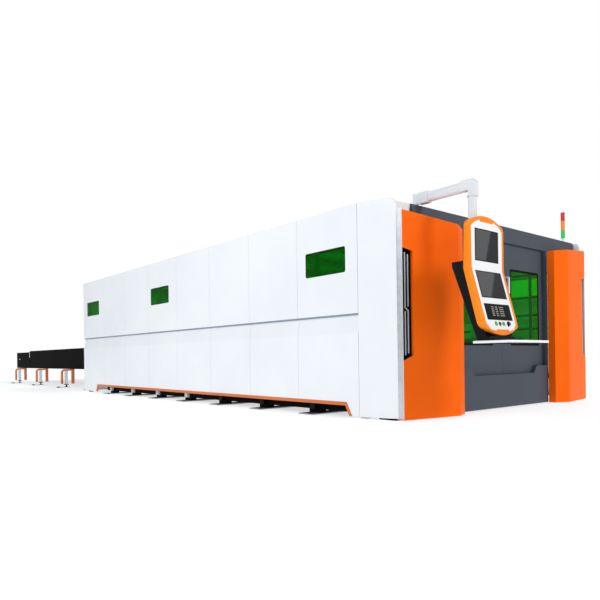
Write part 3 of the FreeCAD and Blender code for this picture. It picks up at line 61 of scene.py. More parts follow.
def node(tree, kind, settings=None, links=None):
    """Add a shader node; settings are input values or properties, links feed its inputs."""
    made = tree.nodes.new(kind)
    for key, value in (settings or {}).items():
        if key in made.inputs:
            made.inputs[key].default_value = value
        else:
            setattr(made, key, value)
    for key, source in (links or {}).items():
        tree.links.new(source, made.inputs[key])
    return made


def start_material(name):
    """An empty node material, its node tree and its object coordinates."""
    material = bpy.data.materials.new(name)
    material.use_nodes = True
    tree = material.node_tree
    tree.nodes.clear()
    place = node(tree, "ShaderNodeTexCoord").outputs["Object"]
    return material, tree, place


def close_material(material, tree, shader):
    """Join the shader to the material's output."""
    output = node(tree, "ShaderNodeOutputMaterial")
    tree.links.new(shader.outputs[0], output.inputs["Surface"])
    return material


def clouded(tree, place, code, other, patch_mm):
    """Colour that drifts between two hex codes in soft patches of a given size."""
    noise = node(tree, "ShaderNodeTexNoise", {"Scale": METRE / patch_mm, "Detail": 3.0},
                 {"Vector": place})
    ramp = node(tree, "ShaderNodeValToRGB", links={"Fac": noise.outputs["Fac"]})
    for element, position, shade in zip(ramp.color_ramp.elements, (0.35, 0.65), (code, other)):
        element.position = position
        element.color = linear(shade)
    return ramp.outputs["Color"]


def grain(tree, place, grain_mm, height_mm, stretch=(1, 1, 1)):
    """Bump from fine noise whose grains have a real size and height."""
    scaled = node(tree, "ShaderNodeMapping", {"Scale": stretch}, {"Vector": place})
    noise = node(tree, "ShaderNodeTexNoise", {"Scale": METRE / grain_mm, "Detail": 2.0},
                 {"Vector": scaled.outputs["Vector"]})
    bump = node(tree, "ShaderNodeBump", {"Strength": GRAIN_STRENGTH, "Distance": height_mm / METRE},
                {"Height": noise.outputs["Fac"]})
    return bump.outputs["Normal"], noise.outputs["Fac"]


def varied(tree, source, low, high):
    """Map a 0 to 1 pattern to a range of roughness."""
    return node(tree, "ShaderNodeMapRange", {"To Min": low, "To Max": high},
                {"Value": source}).outputs["Result"]


def powder_coat(name, code, other, rough=0.38, coat=0.1, shine=0.3, peel_mm=6.0):
    """Baked powder on sheet steel: even colour, a soft sheen and a faint orange peel."""
    material, tree, place = start_material(name)
    normal, fine = grain(tree, place, peel_mm, PEEL_HEIGHT)
    shader = node(tree, "ShaderNodeBsdfPrincipled",
                  {"IOR": 1.5, "Specular IOR Level": shine, "Coat Weight": coat,
                   "Coat Roughness": 0.15},
                  {"Base Color": clouded(tree, place, code, other, PAINT_PATCH), "Normal": normal,
                   "Roughness": varied(tree, fine, rough - 0.04, rough + 0.04)})
    return close_material(material, tree, shader)


def moulded_plastic(name, code, other, rough=0.3, coat=0.0, shine=0.4, texture_mm=1.6):
    """Smooth moulded or printed surface: even colour, fine mould texture, soft highlights."""
    # the real spark-eroded texture is near 0.3 mm; it is drawn coarser, at 1.6 mm or more
    material, tree, place = start_material(name)
    normal, fine = grain(tree, place, texture_mm, MOULD_HEIGHT)
    shader = node(tree, "ShaderNodeBsdfPrincipled",
                  {"IOR": 1.53, "Specular IOR Level": shine, "Coat Weight": coat,
                   "Coat Roughness": 0.08},
                  {"Base Color": clouded(tree, place, code, other, PLASTIC_PATCH),
                   "Normal": normal, "Roughness": varied(tree, fine, rough * 0.85, rough * 1.15)})
    return close_material(material, tree, shader)


def two_tone_paint(name, rear_code, front_code, change_mm):
    """Shop paint on the spacer blocks: light on the rear ones, black ahead of a place along x."""
    blend = 0.01             # metres to either side of the change, which falls between blocks
    material, tree, place = start_material(name)
    normal, fine = grain(tree, place, 6.0, PEEL_HEIGHT)
    along = node(tree, "ShaderNodeSeparateXYZ", links={"Vector": place}).outputs["X"]
    ahead = node(tree, "ShaderNodeMapRange",
                 {"From Min": change_mm / METRE - blend,
                  "From Max": change_mm / METRE + blend},
                 {"Value": along})
    mixed = node(tree, "ShaderNodeValToRGB", links={"Fac": ahead.outputs["Result"]})
    for element, shade in zip(mixed.color_ramp.elements, (rear_code, front_code)):
        element.color = linear(shade)
    shader = node(tree, "ShaderNodeBsdfPrincipled", {"Specular IOR Level": 0.1},
                  {"Base Color": mixed.outputs["Color"], "Normal": normal,
                   "Roughness": varied(tree, fine, 0.46, 0.54)})
    return close_material(material, tree, shader)


def worked_metal(name, code, other, rough, stretch, mark_mm=2.0):
    """Machined or drawn metal: marks drawn out along the direction it was worked in."""
    # real tool marks are near 0.5 mm; they are drawn coarser, at 2 to 6 mm
    material, tree, place = start_material(name)
    normal, fine = grain(tree, place, mark_mm, MARK_HEIGHT, stretch)
    shader = node(tree, "ShaderNodeBsdfPrincipled", {"Metallic": 1.0},
                  {"Base Color": clouded(tree, place, code, other, METAL_PATCH), "Normal": normal,
                   "Roughness": varied(tree, fine, rough - 0.08, rough + 0.1)})
    return close_material(material, tree, shader)


def tinted_sheet(name, code, clear, glow):
    """Dyed acrylic laser-safe sheet: strongly coloured, nearly clear, with a faint painted glow of
    its own colour.
    """
    wave_mm, wave_height = 300.0, 0.2        # slow waves of a cast sheet
    material, tree, place = start_material(name)
    normal, _ = grain(tree, place, wave_mm, wave_height)
    # the emission is a painted glow: the sheet is no lamp
    shader = node(tree, "ShaderNodeBsdfPrincipled",
                  {"Base Color": linear(code), "Roughness": 0.04, "IOR": 1.15,
                   "Specular IOR Level": 0.1, "Transmission Weight": clear,
                   "Emission Color": linear(code), "Emission Strength": glow},
                  {"Normal": normal})
    return close_material(material, tree, shader)


def glowing_lens(name, code, glow):
    """Dyed polycarbonate lamp lens with a little light of its own from within."""
    wave_mm, wave_height = 8.0, 0.1
    material, tree, place = start_material(name)
    normal, _ = grain(tree, place, wave_mm, wave_height)
    shader = node(tree, "ShaderNodeBsdfPrincipled",
                  {"Base Color": linear(code), "Roughness": 0.18, "IOR": 1.58, "Coat Weight": 0.4,
                   "Emission Color": linear(code), "Emission Strength": glow}, {"Normal": normal})
    return close_material(material, tree, shader)


# Gloss white polyester powder on folded sheet: bright, even, with a soft sheen along the folds.
WHITE_COAT = powder_coat("white_powder_coat", "#f1f4f6", "#ecf0f3", 0.32, 0.2)
# Matt signal-orange powder: deep, even colour with hardly a highlight.
ORANGE_COAT = powder_coat("orange_powder_coat", "#ff6c0c", "#fa670a", 0.45, 0.0, 0.06)
# Matt blue-grey powder on the front: reads as one dark plane, its seams as thin shadows.
SLATE_COAT = powder_coat("slate_powder_coat", "#475059", "#434b54", 0.5, 0.0, 0.2)
# Matt black powder on the table, bed and sills: nearly no light comes back, so the shape is its edge.
BLACK_COAT = powder_coat("black_powder_coat", "#050506", "#070709", 0.6, 0.0, 0.03)
# Light grey machine enamel, sprayed on the frame and the vent strips: dull pale lines on black.
GREY_PAINT = powder_coat("grey_frame_enamel", "#bcc6cb", "#b2bdc3", 0.5, 0.05)
# Pale blue-white powder on the table's posts: they stay light in the shadow of the table.
POST_PAINT = powder_coat("pale_post_powder_coat", "#e6edf2", "#dfe7ec", 0.5, 0.05)
# Brushed shop enamel on the spacer blocks: light ones at the rear, black ones near the door.
BLOCK_PAINT = two_tone_paint("spacer_block_enamel", "#c3cbd0", "#0a0b0c", 3811.0)
# Brick-orange powder on bent bar and the low trims: warmer and duller than the pillars.
TRIM_COAT = powder_coat("brick_orange_powder_coat", "#df7c4a", "#d67443", 0.5, 0.0, 0.12)
# Satin blue-black powder on the pendant's box and the gear motor: dark with a faint cold edge.
BRACKET_COAT = powder_coat("blue_black_powder_coat", "#0e1318", "#0b1014", 0.45, 0.0, 0.12)
# Gloss light-grey powder on welded box section: the arm shows its faces as three clean greys.
ARM_COAT = powder_coat("light_grey_powder_coat", "#e8edf1", "#e2e7ec", 0.3, 0.2)
# Amber ABS, injection moulded: warm body with a soft highlight that follows the rounded rim.
AMBER_ABS = moulded_plastic("amber_moulded_abs", "#ff8c06", "#fb8604", 0.32, 0.06, 0.25)
# White ABS, injection moulded: clean and even, a little softer than the painted steel.
WHITE_ABS = moulded_plastic("white_moulded_abs", "#f3f5f6", "#eef1f3", 0.36, 0.1)
# Black ABS, injection moulded: dark key pad, knob and bezels, just told from the screens by sheen.
BLACK_ABS = moulded_plastic("black_moulded_abs", "#0a0b0d", "#0d0e11", 0.4, 0.0, 0.12)
# Screen-printed grey ink on the membrane: small dull bars that read as keys.
LEGEND_INK = moulded_plastic("printed_grey_ink", "#b4ada3", "#a9a298", 0.5, 0.0)
# Dyed acrylic push-button caps, injection moulded and polished: small bright coloured dots.
GREEN_CAP = moulded_plastic("green_polished_acrylic", "#30c24c", "#2ab846", 0.25, 0.1)
RED_CAP = moulded_plastic("red_polished_acrylic", "#8a0f12", "#7e0c0f", 0.25, 0.1)
# Tempered float glass over a dark display: near black, with a clear mirror band across it.
SCREEN_GLASS = moulded_plastic("tempered_display_glass", "#1e2023", "#1b1d20", 0.03, 0.0, 0.5, 400.0)
# Grey EPDM rubber, extruded: its grey is painted shade, the dark line along the shadow groove.
GROOVE_SHADE_STRIP = moulded_plastic("grey_groove_painted_shade", "#a2abb9", "#9aa3b1", 0.7, 0.0, 0.2, 3.0)
# Black EPDM rubber, extruded: a black line without any shine round each window; partly painted shade,
# in the wide door seals and the sheet under the tray.
BLACK_RUBBER_AND_SHADE = moulded_plastic("black_rubber_and_painted_shade", "#08090a", "#0b0c0d", 0.7, 0.0, 0.08, 3.0)
# Hardened steel, ground lengthways: narrow bright rails with a streaked highlight.
GROUND_STEEL = worked_metal("ground_rail_steel", "#c3c6c9", "#b6b9bd", 0.25, (0.05, 1, 1))
# Hot-rolled strip with mill scale, laser cut: brown-grey and blotchy, dull along the teeth.
SLAT_STEEL = worked_metal("hot_rolled_slat_steel", "#77746f", "#5f5b57", 0.5, (1, 0.05, 1), 6.0)
# Zinc-plated sheet steel: cool light grey with a soft, cloudy sheen.
ZINC_STEEL = worked_metal("zinc_plated_steel", "#b9bdc1", "#aaaeb3", 0.38, (1, 1, 1), 4.0)
# Aluminium section, extruded and milled: pale grey with a broad, drawn-out highlight.
MILLED_ALUMINIUM = worked_metal("milled_aluminium", "#d3d6d9", "#c7cace", 0.36, (1, 0.05, 1), 3.0)
# Laser-safe acrylic, cast and dyed deep green: the dark inside shows through as green-black.
SIDE_WINDOW = tinted_sheet("deep_green_cast_acrylic", "#10a81a", 0.95, 0.02)
# The same sheet in the doors, a lighter green: rails and bed show behind it.
DOOR_WINDOW = tinted_sheet("green_cast_acrylic", "#30bc38", 0.95, 0.03)
# Dyed polycarbonate lamp lenses, injection moulded: clear strong colour, a little lit from within.
RED_LENS = glowing_lens("red_moulded_polycarbonate", "#cc1218", 0.12)
AMBER_LENS = glowing_lens("amber_moulded_polycarbonate", "#ee7c1c", 0.25)
GREEN_LENS = glowing_lens("green_moulded_polycarbonate", "#12b04a", 0.35)

FINISHES = {
    WHITE_COAT: ("near_side_panels far_side_panels near_front_corner far_front_corner rear_wall "
                 "roof_panels left_door_handle right_door_handle signal_light_base"),
    ORANGE_COAT: "near_pillar_cover far_pillar_cover",
    SLATE_COAT: "front_fascia front_skirt left_door_leaf right_door_leaf",
    BLACK_COAT: ("vent_inserts door_track wall_sills machine_bed pallet_tracks table_frame "
                 "levelling_feet upper_pallet_frame lower_pallet_frame lift_slide"),
    GREY_PAINT: "enclosure_frame vent_strips",
    POST_PAINT: "support_posts",
    BLOCK_PAINT: "wall_blocks",
    TRIM_COAT: "skirt_trims support_arches",
    BRACKET_COAT: "pendant_back_box exchange_motor",
    ARM_COAT: "console_arm_base console_arm drop_tube",
    AMBER_ABS: "pendant_shell",
    WHITE_ABS: "face_plate keyboard_tray",
    BLACK_ABS: "keypad control_knob",
    GREEN_CAP: "start_button feed_button",
    RED_CAP: "stop_button",
    SCREEN_GLASS: "screens",
    GROUND_STEEL: "bed_rails cross_rails exchange_shaft cutting_head",
    SLAT_STEEL: "upper_pallet_slats lower_pallet_slats",
    ZINC_STEEL: "floor_plates",
    MILLED_ALUMINIUM: "gantry_beam head_carriage",
    SIDE_WINDOW: "side_windows",
    DOOR_WINDOW: "left_door_pane right_door_pane",
    RED_LENS: "signal_light_red",
    AMBER_LENS: "signal_light_amber",
    GREEN_LENS: "signal_light_green",
}
for finish, names in FINISHES.items():
    for name in names.split():
        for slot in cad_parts[name].material_slots:
            slot.material = finish


# ---- making a piece ----------------------------------------------------------------------
DRAWING_ZERO = 7266.5        # the drawing's own zero stands this far forward in the frame, mm
MERGE = 2e-5                 # points nearer than this become one, m
BOTH_SIDES = (1, -1)         # as drawn, and mirrored to the machine's other side
SEAL_EDGE = 0.2              # how proud a seal's edges and its middle stand, mm
SEAL_PROUD = 1.6


def skin(rings, around=True, along=False):
    """Quads over a grid of points, closed round each ring, and from the last ring to the first."""
    rows, columns = rings.shape[:2]
    index = np.arange(rows * columns).reshape(rows, columns)
    if along:
        index = np.vstack([index, index[:1]])
    if around:
        index = np.hstack([index, index[:, :1]])
    quads = np.stack([index[:-1, :-1], index[:-1, 1:], index[1:, 1:], index[1:, :-1]], -1)
    return rings.reshape(-1, 3), quads.reshape(-1, 4)


def capped(first, last):
    """Closed bar between two rings of points, each end drawn in to its middle."""
    rings = [np.broadcast_to(first.mean(0), first.shape), first,
             last, np.broadcast_to(last.mean(0), last.shape)]
    return skin(np.array(rings))


def mirrored(shape, side):
    """The same shape as drawn (1), or on the other side of the machine (-1)."""
    points, faces = shape
    return points * (1, side, 1), faces


def raised(flat, z):
    """Points of a flat (x, y) line at a height, or at a height of their own each."""
    return np.column_stack([flat, np.broadcast_to(z, len(flat))])


def repeated(points, faces, shifts):
    """The same small shape at each of many shifts."""
    shifts = np.asarray(shifts, float).reshape(-1, 1, 3)
    steps = np.arange(len(shifts)).reshape(-1, 1, 1) * len(points)
    return (points + shifts).reshape(-1, 3), (faces + steps).reshape(-1, faces.shape[1])


def turned(profile, centre, axis, across, sides=32):
    """Surface of revolution: each (radius, height) of the profile is carried round the axis."""
    angle = np.arange(sides) * 2 * np.pi / sides
    up = np.cross(axis, across)
    wheel = np.cos(angle)[:, None] * across + np.sin(angle)[:, None] * up
    radius, height = np.array(profile, float).T
    rings = radius[:, None, None] * wheel + height[:, None, None] * np.asarray(axis, float)
    return skin(np.asarray(centre, float) + rings)


def seal(u0, u1, v0, v1, corner, wide, deep):
    """Rounded rectangle in (u, v) with a small closed profile of (inset, proud) carried round it."""
    turn = np.linspace(0, np.pi / 2, 5)
    angle = turn[None, :] + (np.arange(4) * np.pi / 2)[:, None]
    cu = np.array([u1 - corner, u0 + corner, u0 + corner, u1 - corner])
    cv = np.array([v1 - corner, v1 - corner, v0 + corner, v0 + corner])
    rings = []
    for inset, proud in ((-wide / 2, -deep), (-wide / 2, SEAL_EDGE), (-wide / 3, SEAL_PROUD),
                         (wide / 3, SEAL_PROUD), (wide / 2, SEAL_EDGE), (wide / 2, -deep)):
        r = max(corner - inset, 1.0)
        u = (cu[:, None] + r * np.cos(angle)).ravel()
        v = (cv[:, None] + r * np.sin(angle)).ravel()
        rings.append(np.stack([u, v, np.full(len(u), proud)], -1))
    return np.array(rings)


def add_piece(name, parts, finish, body, replaces=(), sharp=40):
    """Closed shapes in drawing millimetres as one mesh that rides on a body."""
    points, faces, count = [], [], 0
    for part_points, part_faces in parts:
        points.append((part_points + (DRAWING_ZERO, 0, 0)) / METRE)
        faces += (part_faces + count).tolist()
        count += len(part_points)
    mesh = bpy.data.meshes.new(name)
    mesh.from_pydata(np.vstack(points).tolist(), [], faces)
    shape = bmesh.new()
    shape.from_mesh(mesh)
    bmesh.ops.remove_doubles(shape, verts=shape.verts, dist=MERGE)
    bmesh.ops.recalc_face_normals(shape, faces=shape.faces)
    shape.to_mesh(mesh)
    shape.free()
    mesh.shade_smooth()
    mesh.set_sharp_from_angle(angle=math.radians(sharp))
    mesh.materials.append(finish)
    made = bpy.data.objects.new(name, mesh)
    bpy.context.collection.objects.link(made)
    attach(made, body)
    if replaces:
        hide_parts(*replaces)


# ---- pendant housing ---------------------------------------------------------------------
PENDANT_Y = -1610.0          # middle line of the pendant
FACE_X = 1200.0              # upright part of its face
BEND_Z = 1568.0              # the face leans back below this height
TILT = math.radians(15)
FACE_NORMAL = np.array((math.cos(TILT), 0, math.sin(TILT)))
ACROSS = np.array((0.0, 1.0, 0.0))

HOUSING_HALF = 330.0
HOUSING_SHOULDER = 70.0      # radius of the four outer corners
HOUSING_TOP = 2052.0
HOUSING_LOW = 946.0
HOUSING_RISE = 62.0          # how far the arc over each end rises
HOUSING_DEPTH = 62.0         # square to the face, below the bend
HOUSING_THINS = 17.0         # the depth lost from the bend to the top
HOUSING_CLIMB = 566.0        # bend to top
SIDE_POINTS = (1200, 1400, BEND_Z - 30, BEND_Z, BEND_Z + 30, 1750, 1900)     # heights on a side
RIM_ROUND = 16.0
POCKET_INSET = 69.0
POCKET_DEPTH = 38.0
BACK_RINGS = ((6.0, 1.0), (0.0, 0.9))        # inset, and share of the full depth


def behind_face(y, z, depth):
    """Points moved back along x to a depth behind the bent face, measured square to the face; y is
    taken from the pendant's middle line."""
    y, z, depth = np.broadcast_arrays(y, z, depth)
    low = np.maximum(BEND_Z - z, 0)
    x = FACE_X + low * np.tan(TILT) - depth * np.where(z < BEND_Z, 1 / np.cos(TILT), 1)
    return np.stack([x, PENDANT_Y + y, z], -1)


def on_tilt(y, z, height=0.0):
    """Point at a height above the tilted lower face, measured along its normal."""
    return behind_face(y, z, 0.0) + FACE_NORMAL * height


def housing_outline(offset):
    """Closed (y, z) line moved inwards by an offset: straight sides with a point on the bend,
    round shoulders, and an arc over each end that rises by a given amount."""
    quarter = np.linspace(0, np.pi / 2, 9)
    radius = max(HOUSING_SHOULDER - offset, 0.5)
    sides = HOUSING_HALF - HOUSING_SHOULDER
    swell = (sides ** 2 + HOUSING_RISE ** 2) / (2 * HOUSING_RISE)
    sweep = np.linspace(np.arcsin(sides / swell), 0, 9)[1:]
    side_z = np.array([HOUSING_LOW + HOUSING_SHOULDER, *SIDE_POINTS])
    side = np.stack([np.full(len(side_z), HOUSING_HALF - offset), side_z], -1)
    shoulder = np.stack([sides + radius * np.cos(quarter),
                         HOUSING_TOP - HOUSING_SHOULDER + radius * np.sin(quarter)], -1)
    crown = np.stack([(swell - offset) * np.sin(sweep),
                      HOUSING_TOP + HOUSING_RISE - swell + (swell - offset) * np.cos(sweep)], -1)
    foot = np.stack([(swell - offset) * np.sin(sweep[::-1]),
                     HOUSING_LOW - HOUSING_RISE + swell - (swell - offset) * np.cos(sweep[::-1])],
                    -1)
    heel = np.stack([sides + radius * np.cos(quarter[::-1]),
                     HOUSING_LOW + HOUSING_SHOULDER - radius * np.sin(quarter[::-1])], -1)
    half_line = np.vstack([foot, heel[:-1], side, shoulder, crown])
    return np.vstack([half_line, half_line[-2:0:-1] * (-1, 1)])


def pendant_housing():
    """Moulded housing: the outline is carried over a profile of (inset, depth) that runs from the
    back, over the wall and its rounded edge, and down into the pocket. Each end of the profile
    closes on the middle line, so the bend stays crisp."""
    rings = []
    for inset, share in BACK_RINGS:
        line = housing_outline(inset)
        full = HOUSING_DEPTH - HOUSING_THINS * np.clip((line[:, 1] - BEND_Z) / HOUSING_CLIMB, 0, 1)
        rings.append(behind_face(line[:, 0], line[:, 1], full * share))
    front = [(RIM_ROUND - RIM_ROUND * np.sin(a), RIM_ROUND - RIM_ROUND * np.cos(a))
             for a in np.linspace(np.pi / 2, 0, 7)]
    for inset, depth in front + [(POCKET_INSET, 0.0), (POCKET_INSET, POCKET_DEPTH)]:
        line = housing_outline(inset)
        rings.append(behind_face(line[:, 0], line[:, 1], depth))
    ends = [np.stack([ring[:, 0], np.full(len(ring), PENDANT_Y), ring[:, 2]], -1)
            for ring in (rings[0], rings[-1])]
    rings = [ends[0]] + rings + [ends[1]]
    add_piece("pendant_housing", [skin(np.array(rings))], AMBER_ABS, "pendant",
              ["pendant_shell"], 50)


# ---- what sits in the pendant's face -----------------------------------------------------
SCREENS = ((-212.0, 213.0, 1645.0, 1972.0), (-223.0, 237.0, 1266.0, 1545.0))   # y, y, z, z
BEZEL_CORNER = 6.0
BEZEL_WIDE = 10.0
BEZEL_DEEP = 2.0
BEZEL_PROUD = 3.0            # zero height of the bezel's profile, ahead of the bent face
BEZEL_FLAT = 0.5             # the seal's profile is pressed to half its height

KEY_COLUMNS = np.array([-102, -88, -74, -32, -18, -4, 38, 54, 70, 86, 102], float)
KEY_ROWS = np.array([1172, 1150.5, 1129, 1107.5, 1086], float)
KEY_HALF = (6.0, 4.5)
KEY_MIDDLE = 1130.0          # height at which one key is drawn before it is repeated
KEY_PROFILE = ((0, 2.6), (1, 2.6), (1, 3.4), (0.8, 3.7), (0, 3.7))       # share, height

CONTROLS_Z = 1002.0
CAP_PROFILE = [(0, -27.5), (15, -27.5), (15, -3), (18.5, -3), (18.5, 6.5), (17.5, 8.4),
               (14, 9.4), (8, 9.9), (0, 10)]
BEZEL_RING = [(19.6, 0.6), (24.5, 0.6), (24.5, 2.6), (23.2, 4.0), (21.0, 4.0), (19.6, 2.8),
              (19.6, 0.6)]
BUTTONS = (("start_button", -89, GREEN_CAP, "green_cap"), ("stop_button", -20, RED_CAP, "red_cap"),
           ("feed_button", 47, GREEN_CAP, "green_cap"))

KNOB_Y = 136
KNOB_RADIUS = 27
KNOB_LOBES = 3
KNOB_WAVE = 0.14
KNOB_STEM = ((0, -29.5), (9.8, -29.5), (9.8, 1.3))
KNOB_CROWN = ((0.995, 1.3), (0.995, 13.5), (0.95, 15.8), (0.86, 16.9), (0, 17.0))
POINTER = np.array([(-1.4, 2), (1.4, 2), (1.4, 22), (-1.4, 22)])         # across, down
POINTER_HEIGHTS = (16.4, 17.25)


def screen_bezels():
    """Thin black frames let in round the screens: a small profile carried round each opening,
    on the upright face above the bend and on the tilted face below it."""
    parts = []
    half = BEZEL_WIDE / 2
    for near, far, low, top in SCREENS:
        rings = seal(near + half, far - half, low + half, top - half, BEZEL_CORNER, BEZEL_WIDE,
                     BEZEL_DEEP)
        depth = -BEZEL_PROUD - rings[..., 2] * BEZEL_FLAT
        parts.append(skin(behind_face(rings[..., 0], rings[..., 1], depth), True, True))
    add_piece("screen_bezels", parts, BLACK_ABS, "pendant")


def key_legends():
    """Membrane keys: rows of low rounded pads in three groups on the key pad, each a printed bar."""
    y, z = np.meshgrid(KEY_COLUMNS, KEY_ROWS)
    corner = np.array([(-1, -1), (1, -1), (1, 1), (-1, 1)]) * KEY_HALF
    base = on_tilt(corner[:, 0], KEY_MIDDLE + corner[:, 1])
    middle = base.mean(0)
    rings = np.stack([middle + (base - middle) * share + FACE_NORMAL * height
                      for share, height in KEY_PROFILE])
    points, faces = skin(rings)
    shifts = on_tilt(y.ravel(), z.ravel()) - on_tilt(0.0, KEY_MIDDLE)
    add_piece("key_legends", [repeated(points, faces, shifts)], LEGEND_INK, "pendant")


def push_buttons():
    """Domed cap on a stem, turned about the face's normal, inside a raised bezel ring."""
    for name, y, finish, slot in BUTTONS:
        centre = on_tilt(y, CONTROLS_Z)
        add_piece(name + "_cap", [turned(CAP_PROFILE, centre, FACE_NORMAL, ACROSS)], finish, name,
                  [name])
        add_piece(name + "_bezel", [turned(BEZEL_RING, centre, FACE_NORMAL, ACROSS)], ZINC_STEEL,
                  "pendant")


def rotary_knob():
    """Lobed knob: radius is a circle with three shallow waves, drawn in towards a rounded crown;
    a pointer bar lies on the crown."""
    angle = np.arange(48) * 2 * np.pi / 48
    wave = 1 - KNOB_WAVE + KNOB_WAVE * np.cos(KNOB_LOBES * angle)
    up = np.cross(FACE_NORMAL, ACROSS)
    wheel = np.cos(angle)[:, None] * ACROSS - np.sin(angle)[:, None] * up
    centre = on_tilt(KNOB_Y, CONTROLS_Z)
    rings = [centre + wheel * radius + FACE_NORMAL * height for radius, height in KNOB_STEM]
    rings += [centre + wheel * (KNOB_RADIUS * share * wave)[:, None] + FACE_NORMAL * height
              for share, height in KNOB_CROWN]
    add_piece("selector_knob", [skin(np.array(rings))], BLACK_ABS, "knob",
              ["control_knob"])
    flat = centre + POINTER[:, :1] * ACROSS - POINTER[:, 1:] * up
    under, over = (flat + FACE_NORMAL * height for height in POINTER_HEIGHTS)
    add_piece("knob_pointer", [capped(under, over)], WHITE_ABS, "knob")


# ---- pendant tray ------------------------------------------------------------------------
TRAY_NEAR = -1950.0
TRAY_FAR = -1189.0
TRAY_BACK = 1235.0
TRAY_FRONT = 1645.0
TRAY_BOW = 22.0              # how far the front edge bows out in its middle
TRAY_CORNER = 30.0
TRAY_LOW = 805.0
TRAY_MIDDLE_X = 1440.0
TRAY_PROFILE = ((5, 0), (1.4, 1.4), (0, 5), (0, 20), (1.4, 23.6), (5, 25), (11, 25), (14, 23),
                (16, 21))    # inset, height above the underside
TRAY_FLOOR = 21.0
SHADE_SHEET_INSET = 12.0
SHADE_SHEET_HEIGHTS = (802.5, 805.2)


def tray_outline(inset):
    """Closed (x, y) line moved inwards by an inset: quarter circles at the corners, a straight
    back, and a front edge bowed as a parabola."""
    turn = np.linspace(0, np.pi / 2, 6)
    radius = max(TRAY_CORNER - inset, 0.5)
    back, front = TRAY_BACK + TRAY_CORNER, TRAY_FRONT - TRAY_CORNER
    near, far = TRAY_NEAR + TRAY_CORNER, TRAY_FAR - TRAY_CORNER
    y = np.linspace(near, far, 17)[1:-1]
    middle, half = (TRAY_NEAR + TRAY_FAR) / 2, (TRAY_FAR - TRAY_NEAR) / 2
    swell = TRAY_BOW * (1 - ((y - middle) / half) ** 2)
    parts = [(back - radius * np.cos(turn), near - radius * np.sin(turn)),
             (front + radius * np.sin(turn), near - radius * np.cos(turn)),
             (TRAY_FRONT + swell - inset, y),
             (front + radius * np.cos(turn), far + radius * np.sin(turn)),
             (back - radius * np.sin(turn), far + radius * np.cos(turn))]
    return np.vstack([np.stack(part, -1) for part in parts])


def rounded_tray():
    """Shallow tray: its outline is carried over a profile of (inset, height) with a soft rim and a
    dished floor, and closes on the line through its middle; a thin black sheet under it is painted
    shade."""
    middle = tray_outline(TRAY_CORNER - 1)
    middle[:, 0] = TRAY_MIDDLE_X
    rings = [raised(middle, TRAY_LOW)]
    rings += [raised(tray_outline(inset), TRAY_LOW + height) for inset, height in TRAY_PROFILE]
    rings.append(raised(middle, TRAY_LOW + TRAY_FLOOR))
    add_piece("pendant_tray", [skin(np.array(rings))], WHITE_ABS, "pendant",
              ["keyboard_tray"])
    # the black sheet is painted shade under the tray
    sheet = capped(*(raised(tray_outline(SHADE_SHEET_INSET), z) for z in SHADE_SHEET_HEIGHTS))
    add_piece("tray_painted_shade_sheet", [sheet], BLACK_RUBBER_AND_SHADE, "pendant")


# ---- signal light ------------------------------------------------------------------------
LENS_X = 250
LENS_Y = 2030
LENS_TOP = 2885              # top of the uppermost lens
LENS_HIGH = 135
LENS_RADIUS = 31
RIB_LOW = 29.3               # radius between two ribs
RIB_PROUD = 1.2
RIBS = 9
RIB_START = 7
RIB_LENGTH = 119
LENSES = (("signal_light_green", GREEN_LENS, 3), ("signal_light_amber", AMBER_LENS, 2),
          ("signal_light_red", RED_LENS, 1))     # how many lens heights its foot is below the top


def ribbed_lenses():
    """Lamp lenses turned about the upright: a rim at each end and shallow round ribs between,
    each rib half a sine wave."""
    rise = np.linspace(0, 1, 43)
    rib = RIB_LOW + RIB_PROUD * np.abs(np.sin(np.pi * RIBS * rise))
    profile = [(0, 0), (LENS_RADIUS, 0), (LENS_RADIUS, RIB_START)]
    profile += list(zip(rib, RIB_START + RIB_LENGTH * rise))
    profile += [(LENS_RADIUS, RIB_START + RIB_LENGTH), (LENS_RADIUS, LENS_HIGH - 1.5),
                (LENS_RADIUS - 1.5, LENS_HIGH), (0, LENS_HIGH)]
    for name, finish, steps in LENSES:
        foot = (LENS_X, LENS_Y, LENS_TOP - steps * LENS_HIGH)
        lens = turned(profile, foot, (0, 0, 1), np.array((1.0, 0, 0)))
        add_piece(name + "_lens", [lens], finish, "machine", [name])


# ---- pallets -----------------------------------------------------------------------------
TEETH = 20
TOOTH_LOW = 50.0
TOOTH_TOP = 90.0
SLAT_REACH = 1315.0          # half the length of a slat
SLAT_HALF = 2.0              # half its thickness
SLATS = 73
SLAT_PITCH = 85.0
PALLETS = (("upper_pallet", -12000.0, 870.0), ("lower_pallet", -4700.0, 670.0))  # middle x, foot z


def toothed_slats():
    """Upright strips whose upper edge is a row of pointed teeth: the edge height is a triangle
    wave along the strip."""
    stations = 2 * TEETH + 1
    y = np.linspace(-SLAT_REACH, SLAT_REACH, stations)
    top = np.where(np.arange(stations) % 2 == 0, TOOTH_LOW, TOOTH_TOP)
    edge = np.stack([np.zeros(stations), y, top], -1)
    foot = edge * (1, 1, 0)
    half = np.array((SLAT_HALF, 0, 0))
    lines = np.stack([foot - half, edge - half, edge + half, foot + half])
    points, faces = skin(lines, False, True)
    first = np.arange(4) * stations
    faces = np.vstack([faces, first, first[::-1] + stations - 1])
    for name, middle, low in PALLETS:
        x = middle + SLAT_PITCH * (np.arange(SLATS) - SLATS // 2)
        shifts = np.stack([x, np.zeros(SLATS), np.full(SLATS, low)], -1)
        add_piece(name + "_toothed_slats", [repeated(points, faces, shifts)], SLAT_STEEL, name,
                  [name + "_slats"], 30)


